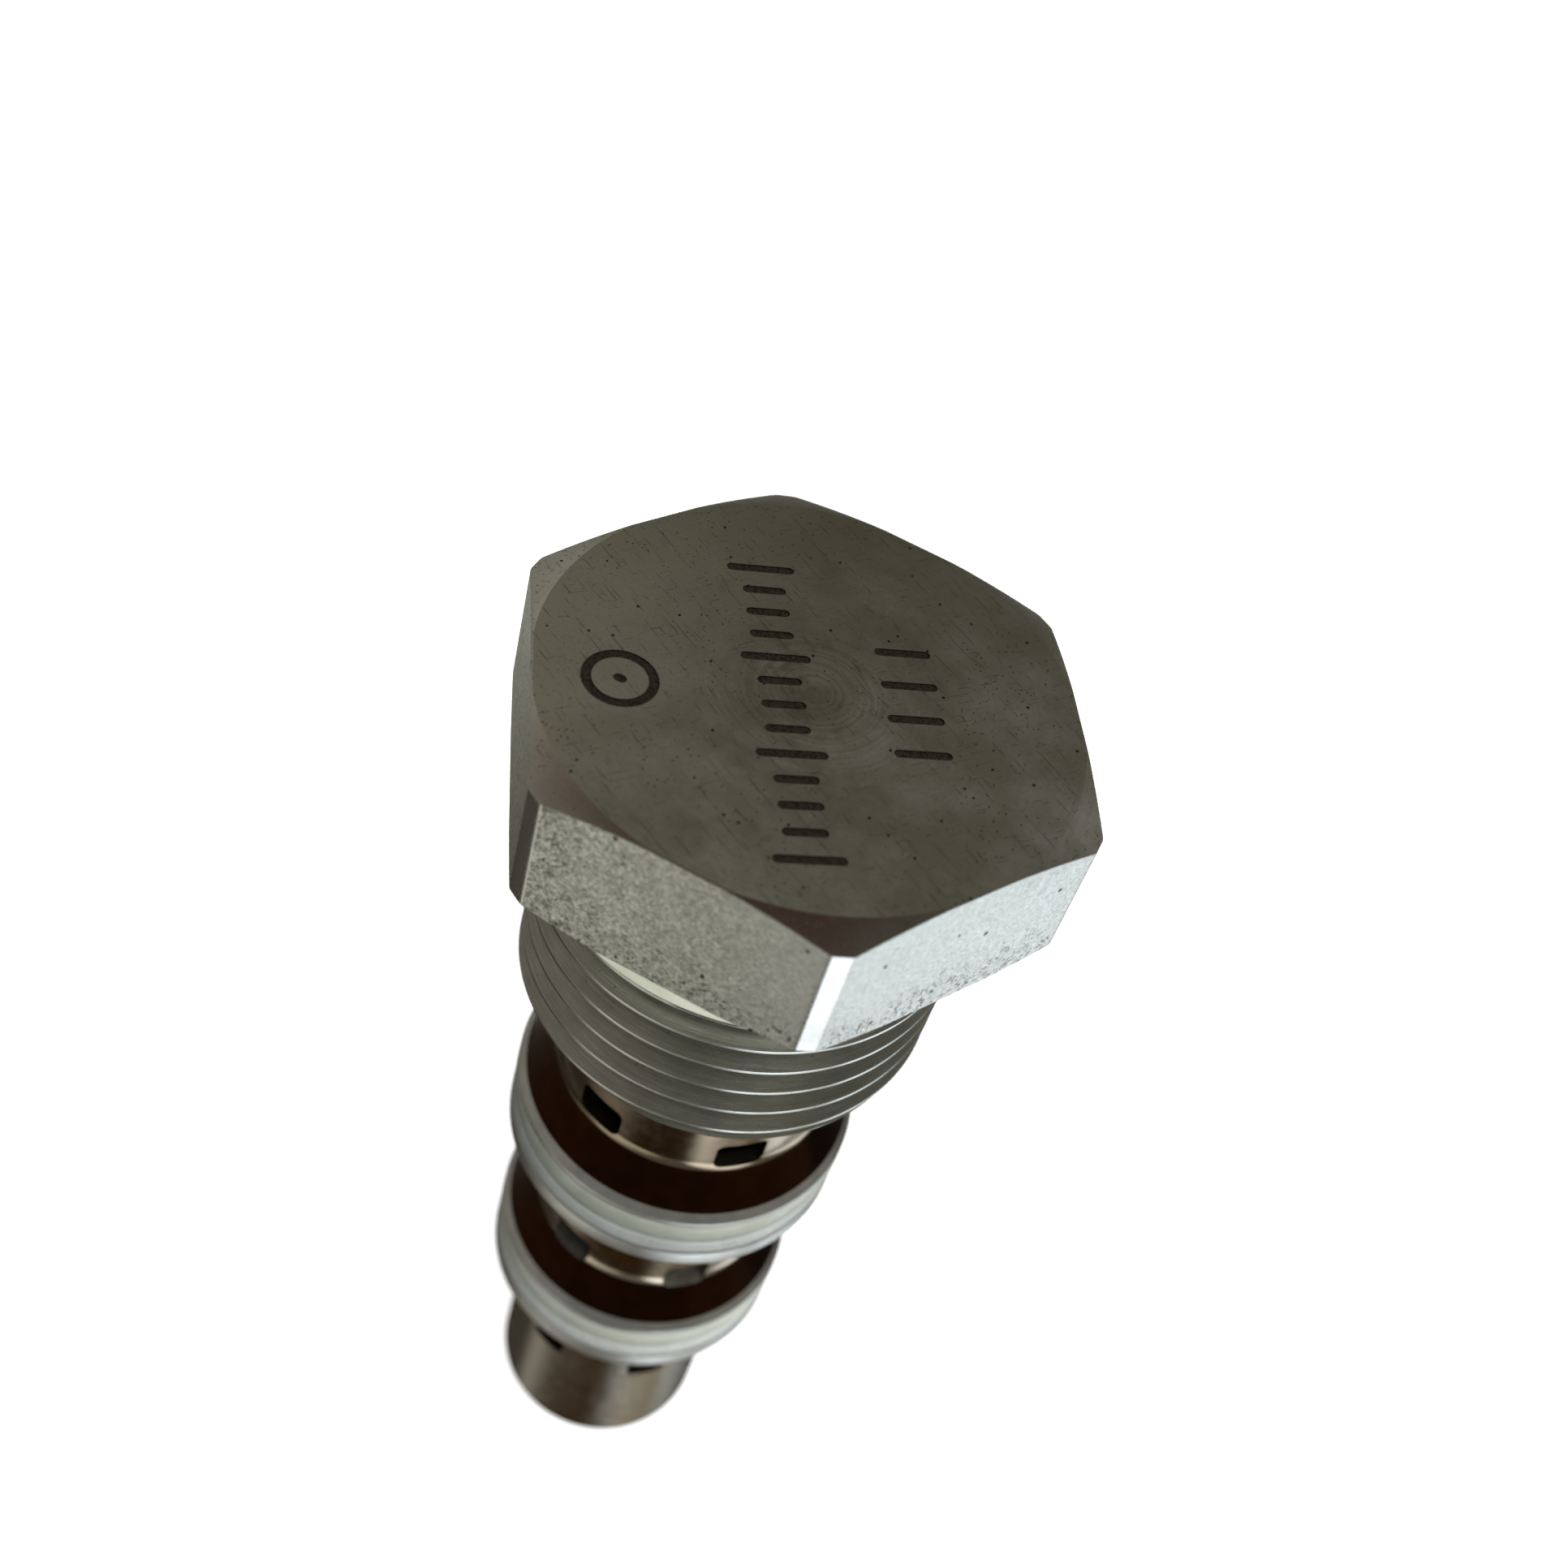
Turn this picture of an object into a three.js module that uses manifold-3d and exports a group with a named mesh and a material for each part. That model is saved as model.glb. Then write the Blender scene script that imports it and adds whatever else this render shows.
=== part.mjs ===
// Screw-in hydraulic cartridge valve: a spring-centred shuttle spool inside a windowed cage, closed at
// the top by a hex plug with a 1-1/16-12 UN thread and at the nose by a small end plug.
// Millimetres, +Z up along the valve axis, with the origin at the middle of the nose's end, on which the
// valve stands. Heights in the constants are measured from the underside of the hex, the face that stops
// against the manifold, and the finished model is lifted so that its nose ends at zero.

import * as THREE from 'three';
import { mergeVertices } from 'three/addons/utils/BufferGeometryUtils.js';
import Module from 'manifold-3d';

const wasm = await Module();
wasm.setup();

// ---------------------------------------------------------------- driving dimensions

const INCH = 25.4;
const TURN = 2 * Math.PI;
const SIDES = 30; // flats on every turned surface, all in step with each other
const SMALL_SIDES = 10; // flats on small pins and drillings
const TOUCH = 0.02; // gap between pieces that rest on each other
const RUNNING_GAP = 0.03; // radial clearance of the spool in the cage bore

// Hex head
const HEX_ACROSS_FLATS = 1.25 * INCH;
const HEX_HEIGHT = 0.38 * INCH;
const HEX_CORNER_R = 17.98; // corners turned down to this radius
const HEX_TOP_FACE_R = 15.95;
const HEX_TOP_SLOPE = THREE.MathUtils.degToRad(20);
const HEX_SEAT_FACE_R = 16.24;
const HEX_SEAT_SLOPE = THREE.MathUtils.degToRad(18);

// O-ring of 2.95 mm section in the undercut, which seals the plug in the mouth of the cavity
const UNDERCUT_R = 11.72;
const FACE_SEAL_WIRE_R = 1.47;
const FACE_SEAL_Z = -1.6;

// 1-1/16-12 UN thread
const THREAD_PITCH = INCH / 12;
const THREAD_MAJOR_R = 1.0625 * INCH / 2;
const THREAD_DEPTH = 0.6134 * THREAD_PITCH;
const THREAD_MINOR_R = THREAD_MAJOR_R - THREAD_DEPTH;
const THREAD_CREST = THREAD_PITCH / 8; // width of the flat on top of the ridge
const THREAD_TOP_Z = -3.15;
const THREAD_END_Z = -16.4;
const THREAD_CREST_Z = -5.84; // height of one crest at azimuth zero
const THREAD_TOP_CHAMFER = 1; // height over which the ridge fades in below the undercut
const THREAD_END_CHAMFER = 0.7;
const THREAD_END_R = 12.85; // left at the end of the thread by its chamfer
const RIDGE_BITE = 0.3; // how far the ridge is sunk into its core

// Plug bores: a socket for the cage collar, and a blind bore for the upper spring
const SOCKET_R = 9.45;
const SOCKET_TOP_Z = -9.18;
const PLUG_BORE_R = 5.6;
const PLUG_BORE_TOP_Z = -2.02;

// Split ring that locks the cage collar in the socket, half in a groove of each
const SNAP_RING_Z = -14.9;
const SNAP_RING_THICKNESS = 1;
const SNAP_RING_INNER_R = 8.95;
const SNAP_RING_OUTER_R = 9.95;
const SNAP_RING_GAP = 4;
const GROOVE_PLAY = 0.05; // room on every side of a snap ring in its grooves

// Spool
const SPOOL_R = 6;
const SPOOL_GROOVE_R = 4.2;
const SPOOL_TOP_Z = -13.2;
const SPOOL_END_Z = -54;
const SPOOL_TRAVEL = 2.5; // each way from the centred rest position
const SPOOL_EDGE = 0.25; // chamfer on the end lands
const SPOOL_DRILLING_R = 2.35; // blind drilling in each end
const CROSS_HOLE_R = 0.8; // from the bottom of each drilling out to a groove
const CROSS_HOLE_INSET = 1.6; // from the end of the groove
const SPOOL_GROOVES = [
  { top: -19.6, end: -39.7 },
  { top: -43.7, end: -49 },
];

// Damping orifices in the spool's drillings
const ORIFICE_R = 0.45;
const ORIFICE_LENGTH = 3;
const ORIFICE_DEPTH = 0.4; // from the spool's end to the slotted face
const ORIFICE_SLOT_WIDTH = 0.7;
const ORIFICE_SLOT_DEPTH = 0.6;

// Cage
const CAGE_BORE_R = SPOOL_R + RUNNING_GAP;
const CAGE_COLLAR_R = 9.4;
const CAGE_TOP_Z = -9.2;
const COLLAR_EDGE = 0.3;
const COLLAR_GLAND_R = 7.9;
const COLLAR_GLAND_TOP_Z = -10.4;
const COLLAR_GLAND_END_Z = -13.3;
const COLLAR_BACKUP_THICKNESS = 1;
const UPPER_NECK_R = 9.65;
const LOWER_NECK_R = 8.65;
const UPPER_LAND_R = 11.85;
const LOWER_LAND_R = 10.85;
const NOSE_R = 8;
const NOSE_BORE_R = 5.4;
const NOSE_COUNTERBORE_R = 6.4;
const NOSE_END_Z = -69.4;
const NOSE_EDGE = 0.45; // chamfer at the end of the nose: this deep,
const NOSE_EDGE_HEIGHT = 0.7; // and this high

// Nose plug, its O-ring and the internal retaining ring under it
const NOSE_PLUG_TOP_Z = -65.2;
const NOSE_SPIGOT_R = 3.1; // centres the lower spring
const NOSE_SPIGOT_TIP_R = 2.9;
const NOSE_SPIGOT_HEIGHT = 1.6;
const NOSE_HOLE_R = 1.6; // blind extraction hole
const NOSE_HOLE_DEPTH = 1.8;
const NOSE_GLAND_R = 5.12;
const NOSE_GLAND_DROP = 1.25; // from the plug's top to the middle of the gland
const NOSE_GLAND_WIDTH = 1.3;
const NOSE_WIRE_R = 0.6;
const NOSE_RING_Z = -68.1;
const NOSE_RING_THICKNESS = 0.8;
const NOSE_RING_INNER_R = 5.7;
const NOSE_RING_OUTER_R = 7;
const NOSE_RING_GAP = 4;
const LUG_R = 1.05;
const LUG_HOLE_R = 0.5;
const LUG_X = 4.9;

// The two lands: a cone up to the rim, a gland for the seal, and a plain rim below it
const UPPER_LAND_TOP_Z = -28.6;
const LOWER_LAND_TOP_Z = -45.95;
const LAND_HEIGHT = 5.6;
const GLAND_DROP = 0.35; // from the top of the land to the gland
const GLAND_WIDTH = 3.6;
const GLAND_DEPTH = 2.12;
const BACKUP_THICKNESS = 1.35;
const BACKUP_SINK = 0.05; // below the rim of the land
const BACKUP_GAP = 0.4; // where the ring is split
const LAND_O_RING_WIRE_R = 1.06;
const LAND_END_EDGE = 0.3;
const CONE_RIM = 0.5; // first chamfer from the rim of the land to the cone
const CONE_RISE = 2.5; // height of the cone,
const CONE_R_STEP = 1.48; // and how much it narrows
const CONE_FOOT_RISE = 0.7; // from the cone up to the cylindrical neck

// Three rows of windows through the cage wall
const WINDOWS_PER_ROW = 6;
const WINDOW_AZIMUTH = THREE.MathUtils.degToRad(13); // of the first window in each row
const WINDOW_CORNER_R = 0.6;
const WINDOW_ROWS = [
  { z: -23.75, width: 3.5, height: 2.5 },
  { z: -41.7, width: 3.3, height: 2.4 },
  { z: -57.2, width: 3, height: 3.2 },
];
const UPPER_PORT_RECESS_R = 8.6; // ring groove in the bore behind the top row
const LOWER_PORT_RECESS_R = 7.4; // and behind the middle row
const PORT_RECESS_MARGIN = 0.2; // above and below the windows

// Centring springs, one at each end of the spool
const SPRING_COIL_R = 4.2;
const SPRING_WIRE_R = 0.5;
const SPRING_TURNS = 5;
const GUIDE_THICKNESS = 1.5;
const GUIDE_R = 5.8; // wider than the bores beyond it, so it stops the spool
const GUIDE_HOLE_R = 1.4;
const SPIGOT_HEIGHT = 1;
const SPIGOT_PLAY = 0.25; // radial, inside the coil
const SPIGOT_TAPER = 0.2;
const SHIM_THICKNESS = 0.5;
const SHIM_INNER_R = 3.35;
const SHIM_PLAY = 0.2; // radial, in its bore

// ---------------------------------------------------------------- materials

function finish(colour, roughness, metalness) {
  return new THREE.MeshStandardMaterial({ color: colour, roughness, metalness });
}

const PLATED_STEEL = finish(0x8d8c86, 0.38, 1);
const CAGE_STEEL = finish(0x7c6f63, 0.32, 1);
const HONED_STEEL = finish(0xb9b4ac, 0.22, 1);
const SPRING_STEEL = finish(0x6f7276, 0.35, 1);
const RING_STEEL = finish(0x4d4d4f, 0.4, 1);
const BRASS = finish(0xb5903c, 0.35, 1);
const PALE_SEAL = finish(0xd9dccb, 0.45, 0);
const BACKUP_PLASTIC = finish(0xe3e5e0, 0.5, 0);
const DARK_RUBBER = finish(0x1d1d1e, 0.6, 0);

// ---------------------------------------------------------------- solid modelling helpers

// Turns a three.js geometry into a solid: shared corners are merged and flattened triangles dropped.
function toSolid(geometry) {
  const bare = geometry.clone();
  bare.deleteAttribute('normal');
  bare.deleteAttribute('uv');
  const merged = mergeVertices(bare, 1e-4);
  const corners = merged.index.array;
  const triVerts = [];
  for (let i = 0; i < corners.length; i += 3) {
    const [a, b, c] = corners.slice(i, i + 3);
    if (a !== b && b !== c && c !== a) {
      triVerts.push(a, b, c);
    }
  }
  return new wasm.Manifold(new wasm.Mesh({
    numProp: 3,
    vertProperties: new Float32Array(merged.attributes.position.array),
    triVerts: new Uint32Array(triVerts),
  }));
}

function toGeometry(solid) {
  const mesh = solid.getMesh();
  const geometry = new THREE.BufferGeometry();
  geometry.setAttribute('position', new THREE.BufferAttribute(mesh.vertProperties, 3));
  geometry.setIndex(new THREE.BufferAttribute(mesh.triVerts, 1));
  geometry.computeVertexNormals();
  return geometry;
}

// A solid turned about Z from [radius, z] corners listed from the bottom up the outside.
function turned(corners, sides = SIDES) {
  const profile = corners.map(([r, z]) => new THREE.Vector2(r, z));
  const geometry = new THREE.LatheGeometry(profile, sides, TURN / 4);
  geometry.rotateX(Math.PI / 2);
  return toSolid(geometry);
}

// A plain cylinder on the Z axis between two heights.
function drum(radius, bottomZ, topZ, sides = SIDES) {
  return turned([[0, bottomZ], [radius, bottomZ], [radius, topZ], [0, topZ]], sides);
}

// A ring of rectangular section between two radii and two heights.
function band(innerR, outerR, bottomZ, topZ) {
  return turned([[innerR, bottomZ], [outerR, bottomZ], [outerR, topZ], [innerR, topZ], [innerR, bottomZ]]);
}

// An O-ring centred on the origin, its corners in step with the turned surfaces.
function oRing(ringR, wireR) {
  const wireSides = 8;
  const corners = [];
  for (let i = 0; i <= wireSides; i += 1) {
    const angle = TURN * i / wireSides;
    corners.push([ringR + wireR * Math.cos(angle), wireR * Math.sin(angle)]);
  }
  corners[wireSides] = corners[0];
  return turned(corners);
}

// A flat split ring centred on the origin, with a straight gap facing +X.
function splitRing(innerR, outerR, thickness, gap) {
  const cutter = new THREE.BoxGeometry(outerR + 1, gap, 2 * thickness);
  cutter.translate((outerR + 1) / 2, 0, 0);
  return band(innerR, outerR, -thickness / 2, thickness / 2).subtract(toSolid(cutter));
}

// A round hole along X through the whole part at the given height and azimuth.
function crossHole(radius, length, z, azimuth) {
  const geometry = new THREE.CylinderGeometry(radius, radius, length, SMALL_SIDES);
  geometry.rotateZ(Math.PI / 2);
  geometry.rotateZ(azimuth);
  geometry.translate(0, 0, z);
  return toSolid(geometry);
}

// A coil about Z whose section keeps its X direction pointing straight out from the axis.
class CoilPath extends THREE.Curve {
  constructor(radius, turns, heightAt) {
    super();
    this.radius = radius;
    this.turns = turns;
    this.heightAt = heightAt;
    this.arcLengthDivisions = 800;
  }

  getPoint(t) {
    const angle = TURN * this.turns * t;
    return new THREE.Vector3(this.radius * Math.cos(angle), this.radius * Math.sin(angle), this.heightAt(t));
  }

  computeFrenetFrames(segments) {
    const frames = { tangents: [], normals: [], binormals: [] };
    for (let i = 0; i <= segments; i += 1) {
      const point = this.getPointAt(i / segments);
      const outward = new THREE.Vector3(point.x, point.y, 0).normalize();
      const along = new THREE.Vector3(-outward.y, outward.x, 0);
      frames.tangents.push(along);
      frames.normals.push(outward);
      frames.binormals.push(new THREE.Vector3().crossVectors(along, outward));
    }
    return frames;
  }
}

function coil(sectionCorners, path, stepsPerTurn) {
  const section = new THREE.Shape(sectionCorners.map(([x, y]) => new THREE.Vector2(x, y)));
  const geometry = new THREE.ExtrudeGeometry(section, {
    extrudePath: path,
    steps: Math.round(path.turns * stepsPerTurn),
    bevelEnabled: false,
  });
  return toSolid(geometry);
}

const model = new THREE.Group();
const slidingGroup = new THREE.Group();
model.add(slidingGroup);

function addPiece(name, solid, material, z = 0, azimuth = 0, group = model) {
  const mesh = new THREE.Mesh(toGeometry(solid), material);
  mesh.name = name;
  mesh.position.z = z;
  mesh.rotation.z = azimuth;
  group.add(mesh);
}

// ---------------------------------------------------------------- hex plug

function hexHead() {
  const cornerDistance = HEX_ACROSS_FLATS / 2 / Math.cos(TURN / 12);
  const corners = [];
  for (let i = 0; i < 6; i += 1) {
    const angle = TURN * i / 6;
    corners.push(new THREE.Vector2(cornerDistance * Math.cos(angle), cornerDistance * Math.sin(angle)));
  }
  const outline = new THREE.Shape(corners);
  const prism = toSolid(new THREE.ExtrudeGeometry(outline, { depth: HEX_HEIGHT, bevelEnabled: false }));
  const topDrop = (HEX_CORNER_R - HEX_TOP_FACE_R) * Math.tan(HEX_TOP_SLOPE);
  const seatRise = (HEX_CORNER_R - HEX_SEAT_FACE_R) * Math.tan(HEX_SEAT_SLOPE);
  const blank = turned([
    [0, 0],
    [HEX_SEAT_FACE_R, 0],
    [HEX_CORNER_R, seatRise],
    [HEX_CORNER_R, HEX_HEIGHT - topDrop],
    [HEX_TOP_FACE_R, HEX_HEIGHT],
    [0, HEX_HEIGHT],
  ]);
  return prism.intersect(blank);
}

function threadRidge() {
  const crestHalf = THREAD_CREST / 2;
  const rootHalf = crestHalf + THREAD_DEPTH * Math.tan(TURN / 12);
  const section = [
    [-RIDGE_BITE, -rootHalf],
    [0, -rootHalf],
    [THREAD_DEPTH, -crestHalf],
    [THREAD_DEPTH, crestHalf],
    [0, rootHalf],
    [-RIDGE_BITE, rootHalf],
  ];
  const turnsBelow = Math.ceil((THREAD_CREST_Z - THREAD_END_Z) / THREAD_PITCH);
  const turnsAbove = Math.ceil((THREAD_TOP_Z - THREAD_CREST_Z) / THREAD_PITCH);
  const turns = turnsBelow + turnsAbove;
  const startZ = THREAD_CREST_Z - turnsBelow * THREAD_PITCH;
  const path = new CoilPath(THREAD_MINOR_R, turns, (t) => startZ + THREAD_PITCH * turns * t);
  const fadeTopZ = THREAD_TOP_Z - 0.1;
  const chamfered = turned([
    [0, THREAD_END_Z],
    [THREAD_END_R, THREAD_END_Z],
    [THREAD_MAJOR_R, THREAD_END_Z + THREAD_END_CHAMFER],
    [THREAD_MAJOR_R, THREAD_TOP_Z - THREAD_TOP_CHAMFER],
    [THREAD_MINOR_R - RIDGE_BITE, fadeTopZ],
    [0, fadeTopZ],
  ]);
  return coil(section, path, SIDES).intersect(chamfered);
}

const SNAP_GROOVE_TOP_Z = SNAP_RING_Z + SNAP_RING_THICKNESS / 2 + GROOVE_PLAY;
const SNAP_GROOVE_END_Z = SNAP_RING_Z - SNAP_RING_THICKNESS / 2 - GROOVE_PLAY;

function hexPlug() {
  const coreTopZ = HEX_HEIGHT / 2; // anywhere inside the hex
  const core = turned([
    [0, THREAD_END_Z],
    [THREAD_MINOR_R, THREAD_END_Z],
    [THREAD_MINOR_R, THREAD_TOP_Z],
    [UNDERCUT_R, THREAD_TOP_Z],
    [UNDERCUT_R, coreTopZ],
    [0, coreTopZ],
  ]);
  const socket = drum(SOCKET_R, THREAD_END_Z - 1, SOCKET_TOP_Z);
  const springBore = drum(PLUG_BORE_R, SOCKET_TOP_Z - 1, PLUG_BORE_TOP_Z);
  const snapGroove = drum(SNAP_RING_OUTER_R + GROOVE_PLAY, SNAP_GROOVE_END_Z, SNAP_GROOVE_TOP_Z);
  const blank = hexHead().add(core).add(threadRidge());
  return blank.subtract(socket).subtract(springBore).subtract(snapGroove);
}

const faceSealR = UNDERCUT_R + TOUCH + FACE_SEAL_WIRE_R;
addPiece('hex_plug', hexPlug(), PLATED_STEEL);
addPiece('face_seal', oRing(faceSealR, FACE_SEAL_WIRE_R), PALE_SEAL, FACE_SEAL_Z);

// ---------------------------------------------------------------- cage

// A round-cornered prism that starts inside the bore and ends outside the widest land.
function windowCutter(row, azimuth) {
  const innerReach = NOSE_BORE_R / 2;
  const halfWidth = row.width / 2 - WINDOW_CORNER_R;
  const halfHeight = row.height / 2 - WINDOW_CORNER_R;
  const quarter = Math.PI / 2;
  const outline = new THREE.Shape();
  outline.absarc(halfWidth, halfHeight, WINDOW_CORNER_R, 0, quarter, false);
  outline.absarc(-halfWidth, halfHeight, WINDOW_CORNER_R, quarter, 2 * quarter, false);
  outline.absarc(-halfWidth, -halfHeight, WINDOW_CORNER_R, 2 * quarter, 3 * quarter, false);
  outline.absarc(halfWidth, -halfHeight, WINDOW_CORNER_R, 3 * quarter, 4 * quarter, false);
  const geometry = new THREE.ExtrudeGeometry(outline, {
    depth: UPPER_LAND_R - innerReach,
    bevelEnabled: false,
    curveSegments: 2,
  });
  geometry.translate(0, 0, innerReach);
  geometry.rotateX(Math.PI / 2);
  geometry.rotateZ(Math.PI / 2 + azimuth);
  geometry.translate(0, 0, row.z);
  return toSolid(geometry);
}

// Outline of one land from its bottom edge up to the foot of the cylindrical neck above it.
function landOutline(landR, neckR, topZ) {
  const endZ = topZ - LAND_HEIGHT;
  const glandTopZ = topZ - GLAND_DROP;
  const glandEndZ = glandTopZ - GLAND_WIDTH;
  const coneEndZ = topZ + CONE_RIM;
  const coneFootR = landR - CONE_RIM - CONE_R_STEP;
  return [
    [landR - LAND_END_EDGE, endZ],
    [landR, endZ + LAND_END_EDGE],
    [landR, glandEndZ],
    [landR - GLAND_DEPTH, glandEndZ],
    [landR - GLAND_DEPTH, glandTopZ],
    [landR, glandTopZ],
    [landR, topZ],
    [landR - CONE_RIM, coneEndZ],
    [coneFootR, coneEndZ + CONE_RISE],
    [neckR, coneEndZ + CONE_RISE + CONE_FOOT_RISE],
  ];
}

function cage() {
  let body = turned([
    [0, NOSE_END_Z],
    [NOSE_R - NOSE_EDGE, NOSE_END_Z],
    [NOSE_R, NOSE_END_Z + NOSE_EDGE_HEIGHT],
    [NOSE_R, LOWER_LAND_TOP_Z - LAND_HEIGHT],
    ...landOutline(LOWER_LAND_R, LOWER_NECK_R, LOWER_LAND_TOP_Z),
    [LOWER_NECK_R, UPPER_LAND_TOP_Z - LAND_HEIGHT],
    ...landOutline(UPPER_LAND_R, UPPER_NECK_R, UPPER_LAND_TOP_Z),
    [UPPER_NECK_R, THREAD_END_Z - TOUCH],
    [CAGE_COLLAR_R, THREAD_END_Z - TOUCH],
    [CAGE_COLLAR_R, SNAP_GROOVE_END_Z],
    [SNAP_RING_INNER_R - GROOVE_PLAY, SNAP_GROOVE_END_Z],
    [SNAP_RING_INNER_R - GROOVE_PLAY, SNAP_GROOVE_TOP_Z],
    [CAGE_COLLAR_R, SNAP_GROOVE_TOP_Z],
    [CAGE_COLLAR_R, COLLAR_GLAND_END_Z],
    [COLLAR_GLAND_R, COLLAR_GLAND_END_Z],
    [COLLAR_GLAND_R, COLLAR_GLAND_TOP_Z],
    [CAGE_COLLAR_R, COLLAR_GLAND_TOP_Z],
    [CAGE_COLLAR_R, CAGE_TOP_Z - COLLAR_EDGE],
    [CAGE_COLLAR_R - COLLAR_EDGE, CAGE_TOP_Z],
    [0, CAGE_TOP_Z],
  ]);
  const stopZ = SPOOL_END_Z - GUIDE_THICKNESS - SPOOL_TRAVEL - 2 * TOUCH;
  body = body.subtract(drum(CAGE_BORE_R, stopZ, CAGE_TOP_Z + 1));
  body = body.subtract(drum(NOSE_BORE_R, NOSE_END_Z - 1, stopZ + 1));
  body = body.subtract(drum(NOSE_COUNTERBORE_R, NOSE_END_Z - 1, NOSE_PLUG_TOP_Z + TOUCH));
  const ringReach = NOSE_RING_THICKNESS / 2 + GROOVE_PLAY;
  const ringGrooveR = NOSE_RING_OUTER_R + GROOVE_PLAY;
  body = body.subtract(drum(ringGrooveR, NOSE_RING_Z - ringReach, NOSE_RING_Z + ringReach));
  const recesses = [UPPER_PORT_RECESS_R, LOWER_PORT_RECESS_R];
  recesses.forEach((radius, i) => {
    const reach = WINDOW_ROWS[i].height / 2 + PORT_RECESS_MARGIN;
    body = body.subtract(drum(radius, WINDOW_ROWS[i].z - reach, WINDOW_ROWS[i].z + reach));
  });
  for (const row of WINDOW_ROWS) {
    for (let i = 0; i < WINDOWS_PER_ROW; i += 1) {
      body = body.subtract(windowCutter(row, WINDOW_AZIMUTH + TURN * i / WINDOWS_PER_ROW));
    }
  }
  return body;
}

addPiece('cage', cage(), CAGE_STEEL);

const snapRing = splitRing(SNAP_RING_INNER_R, SNAP_RING_OUTER_R, SNAP_RING_THICKNESS, SNAP_RING_GAP);
addPiece('cage_snap_ring', snapRing, RING_STEEL, SNAP_RING_Z);

// Static seal between the cage collar and the plug socket: an O-ring above one backup ring
const collarWireR = (SOCKET_R - COLLAR_GLAND_R) / 2 - TOUCH;
const collarRingR = (SOCKET_R + COLLAR_GLAND_R) / 2;
const collarRingZ = COLLAR_GLAND_TOP_Z - collarWireR - TOUCH;
const collarBackup = splitRing(COLLAR_GLAND_R + TOUCH, CAGE_COLLAR_R, COLLAR_BACKUP_THICKNESS, BACKUP_GAP);
const collarBackupZ = COLLAR_GLAND_END_Z + TOUCH + COLLAR_BACKUP_THICKNESS / 2;
addPiece('cage_o_ring', oRing(collarRingR, collarWireR), DARK_RUBBER, collarRingZ);
addPiece('cage_backup_ring', collarBackup, BACKUP_PLASTIC, collarBackupZ);

// ---------------------------------------------------------------- seals on the two lands

// A pale O-ring at the top of the gland and a split backup ring under it
function landSeals(prefix, landR, landTopZ) {
  const glandR = landR - GLAND_DEPTH;
  const glandTopZ = landTopZ - GLAND_DROP;
  const glandEndZ = glandTopZ - GLAND_WIDTH;
  const ring = oRing(glandR + TOUCH + LAND_O_RING_WIRE_R, LAND_O_RING_WIRE_R);
  const backup = splitRing(glandR + TOUCH, landR - BACKUP_SINK, BACKUP_THICKNESS, BACKUP_GAP);
  const ringZ = glandTopZ - TOUCH - LAND_O_RING_WIRE_R;
  const backupZ = glandEndZ + TOUCH + BACKUP_THICKNESS / 2;
  addPiece(`${prefix}_o_ring`, ring, PALE_SEAL, ringZ);
  addPiece(`${prefix}_backup_ring`, backup, BACKUP_PLASTIC, backupZ, TURN / 5);
}

landSeals('upper_land', UPPER_LAND_R, UPPER_LAND_TOP_Z);
landSeals('lower_land', LOWER_LAND_R, LOWER_LAND_TOP_Z);

// ---------------------------------------------------------------- spool and what it carries

function spool() {
  let body = turned([
    [0, SPOOL_END_Z],
    [SPOOL_R - SPOOL_EDGE, SPOOL_END_Z],
    [SPOOL_R, SPOOL_END_Z + SPOOL_EDGE],
    [SPOOL_R, SPOOL_TOP_Z - SPOOL_EDGE],
    [SPOOL_R - SPOOL_EDGE, SPOOL_TOP_Z],
    [0, SPOOL_TOP_Z],
  ]);
  for (const groove of SPOOL_GROOVES) {
    body = body.subtract(band(SPOOL_GROOVE_R, SPOOL_R + 1, groove.end, groove.top));
  }
  const topCrossZ = SPOOL_GROOVES[0].top - CROSS_HOLE_INSET;
  const endCrossZ = SPOOL_GROOVES[1].end + CROSS_HOLE_INSET;
  body = body.subtract(drum(SPOOL_DRILLING_R, topCrossZ - 1, SPOOL_TOP_Z + 1));
  body = body.subtract(drum(SPOOL_DRILLING_R, SPOOL_END_Z - 1, endCrossZ + 1));
  for (const azimuth of [0, TURN / 4]) {
    body = body.subtract(crossHole(CROSS_HOLE_R, 3 * SPOOL_R, topCrossZ, azimuth));
    body = body.subtract(crossHole(CROSS_HOLE_R, 3 * SPOOL_R, endCrossZ, azimuth));
  }
  return body;
}

// Damping orifice screwed into the end of a spool drilling, drawn with its slotted face up.
function orifice() {
  const plugBody = band(ORIFICE_R, SPOOL_DRILLING_R - TOUCH, -ORIFICE_LENGTH, 0);
  const slot = toSolid(new THREE.BoxGeometry(2 * SPOOL_R, ORIFICE_SLOT_WIDTH, 2 * ORIFICE_SLOT_DEPTH));
  return plugBody.subtract(slot);
}

// Washer with a short spigot that centres the spring, drawn with its spigot up.
function springGuide() {
  const spigotR = SPRING_COIL_R - SPRING_WIRE_R - SPIGOT_PLAY;
  const spigotTopZ = GUIDE_THICKNESS + SPIGOT_HEIGHT;
  return turned([
    [GUIDE_HOLE_R, 0],
    [GUIDE_R, 0],
    [GUIDE_R, GUIDE_THICKNESS],
    [spigotR, GUIDE_THICKNESS],
    [spigotR - SPIGOT_TAPER, spigotTopZ],
    [GUIDE_HOLE_R, spigotTopZ],
    [GUIDE_HOLE_R, 0],
  ]);
}

// Turns a solid end for end, so a piece drawn facing up faces down.
function flipped(solid) {
  return solid.rotate([180, 0, 0]);
}

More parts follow.
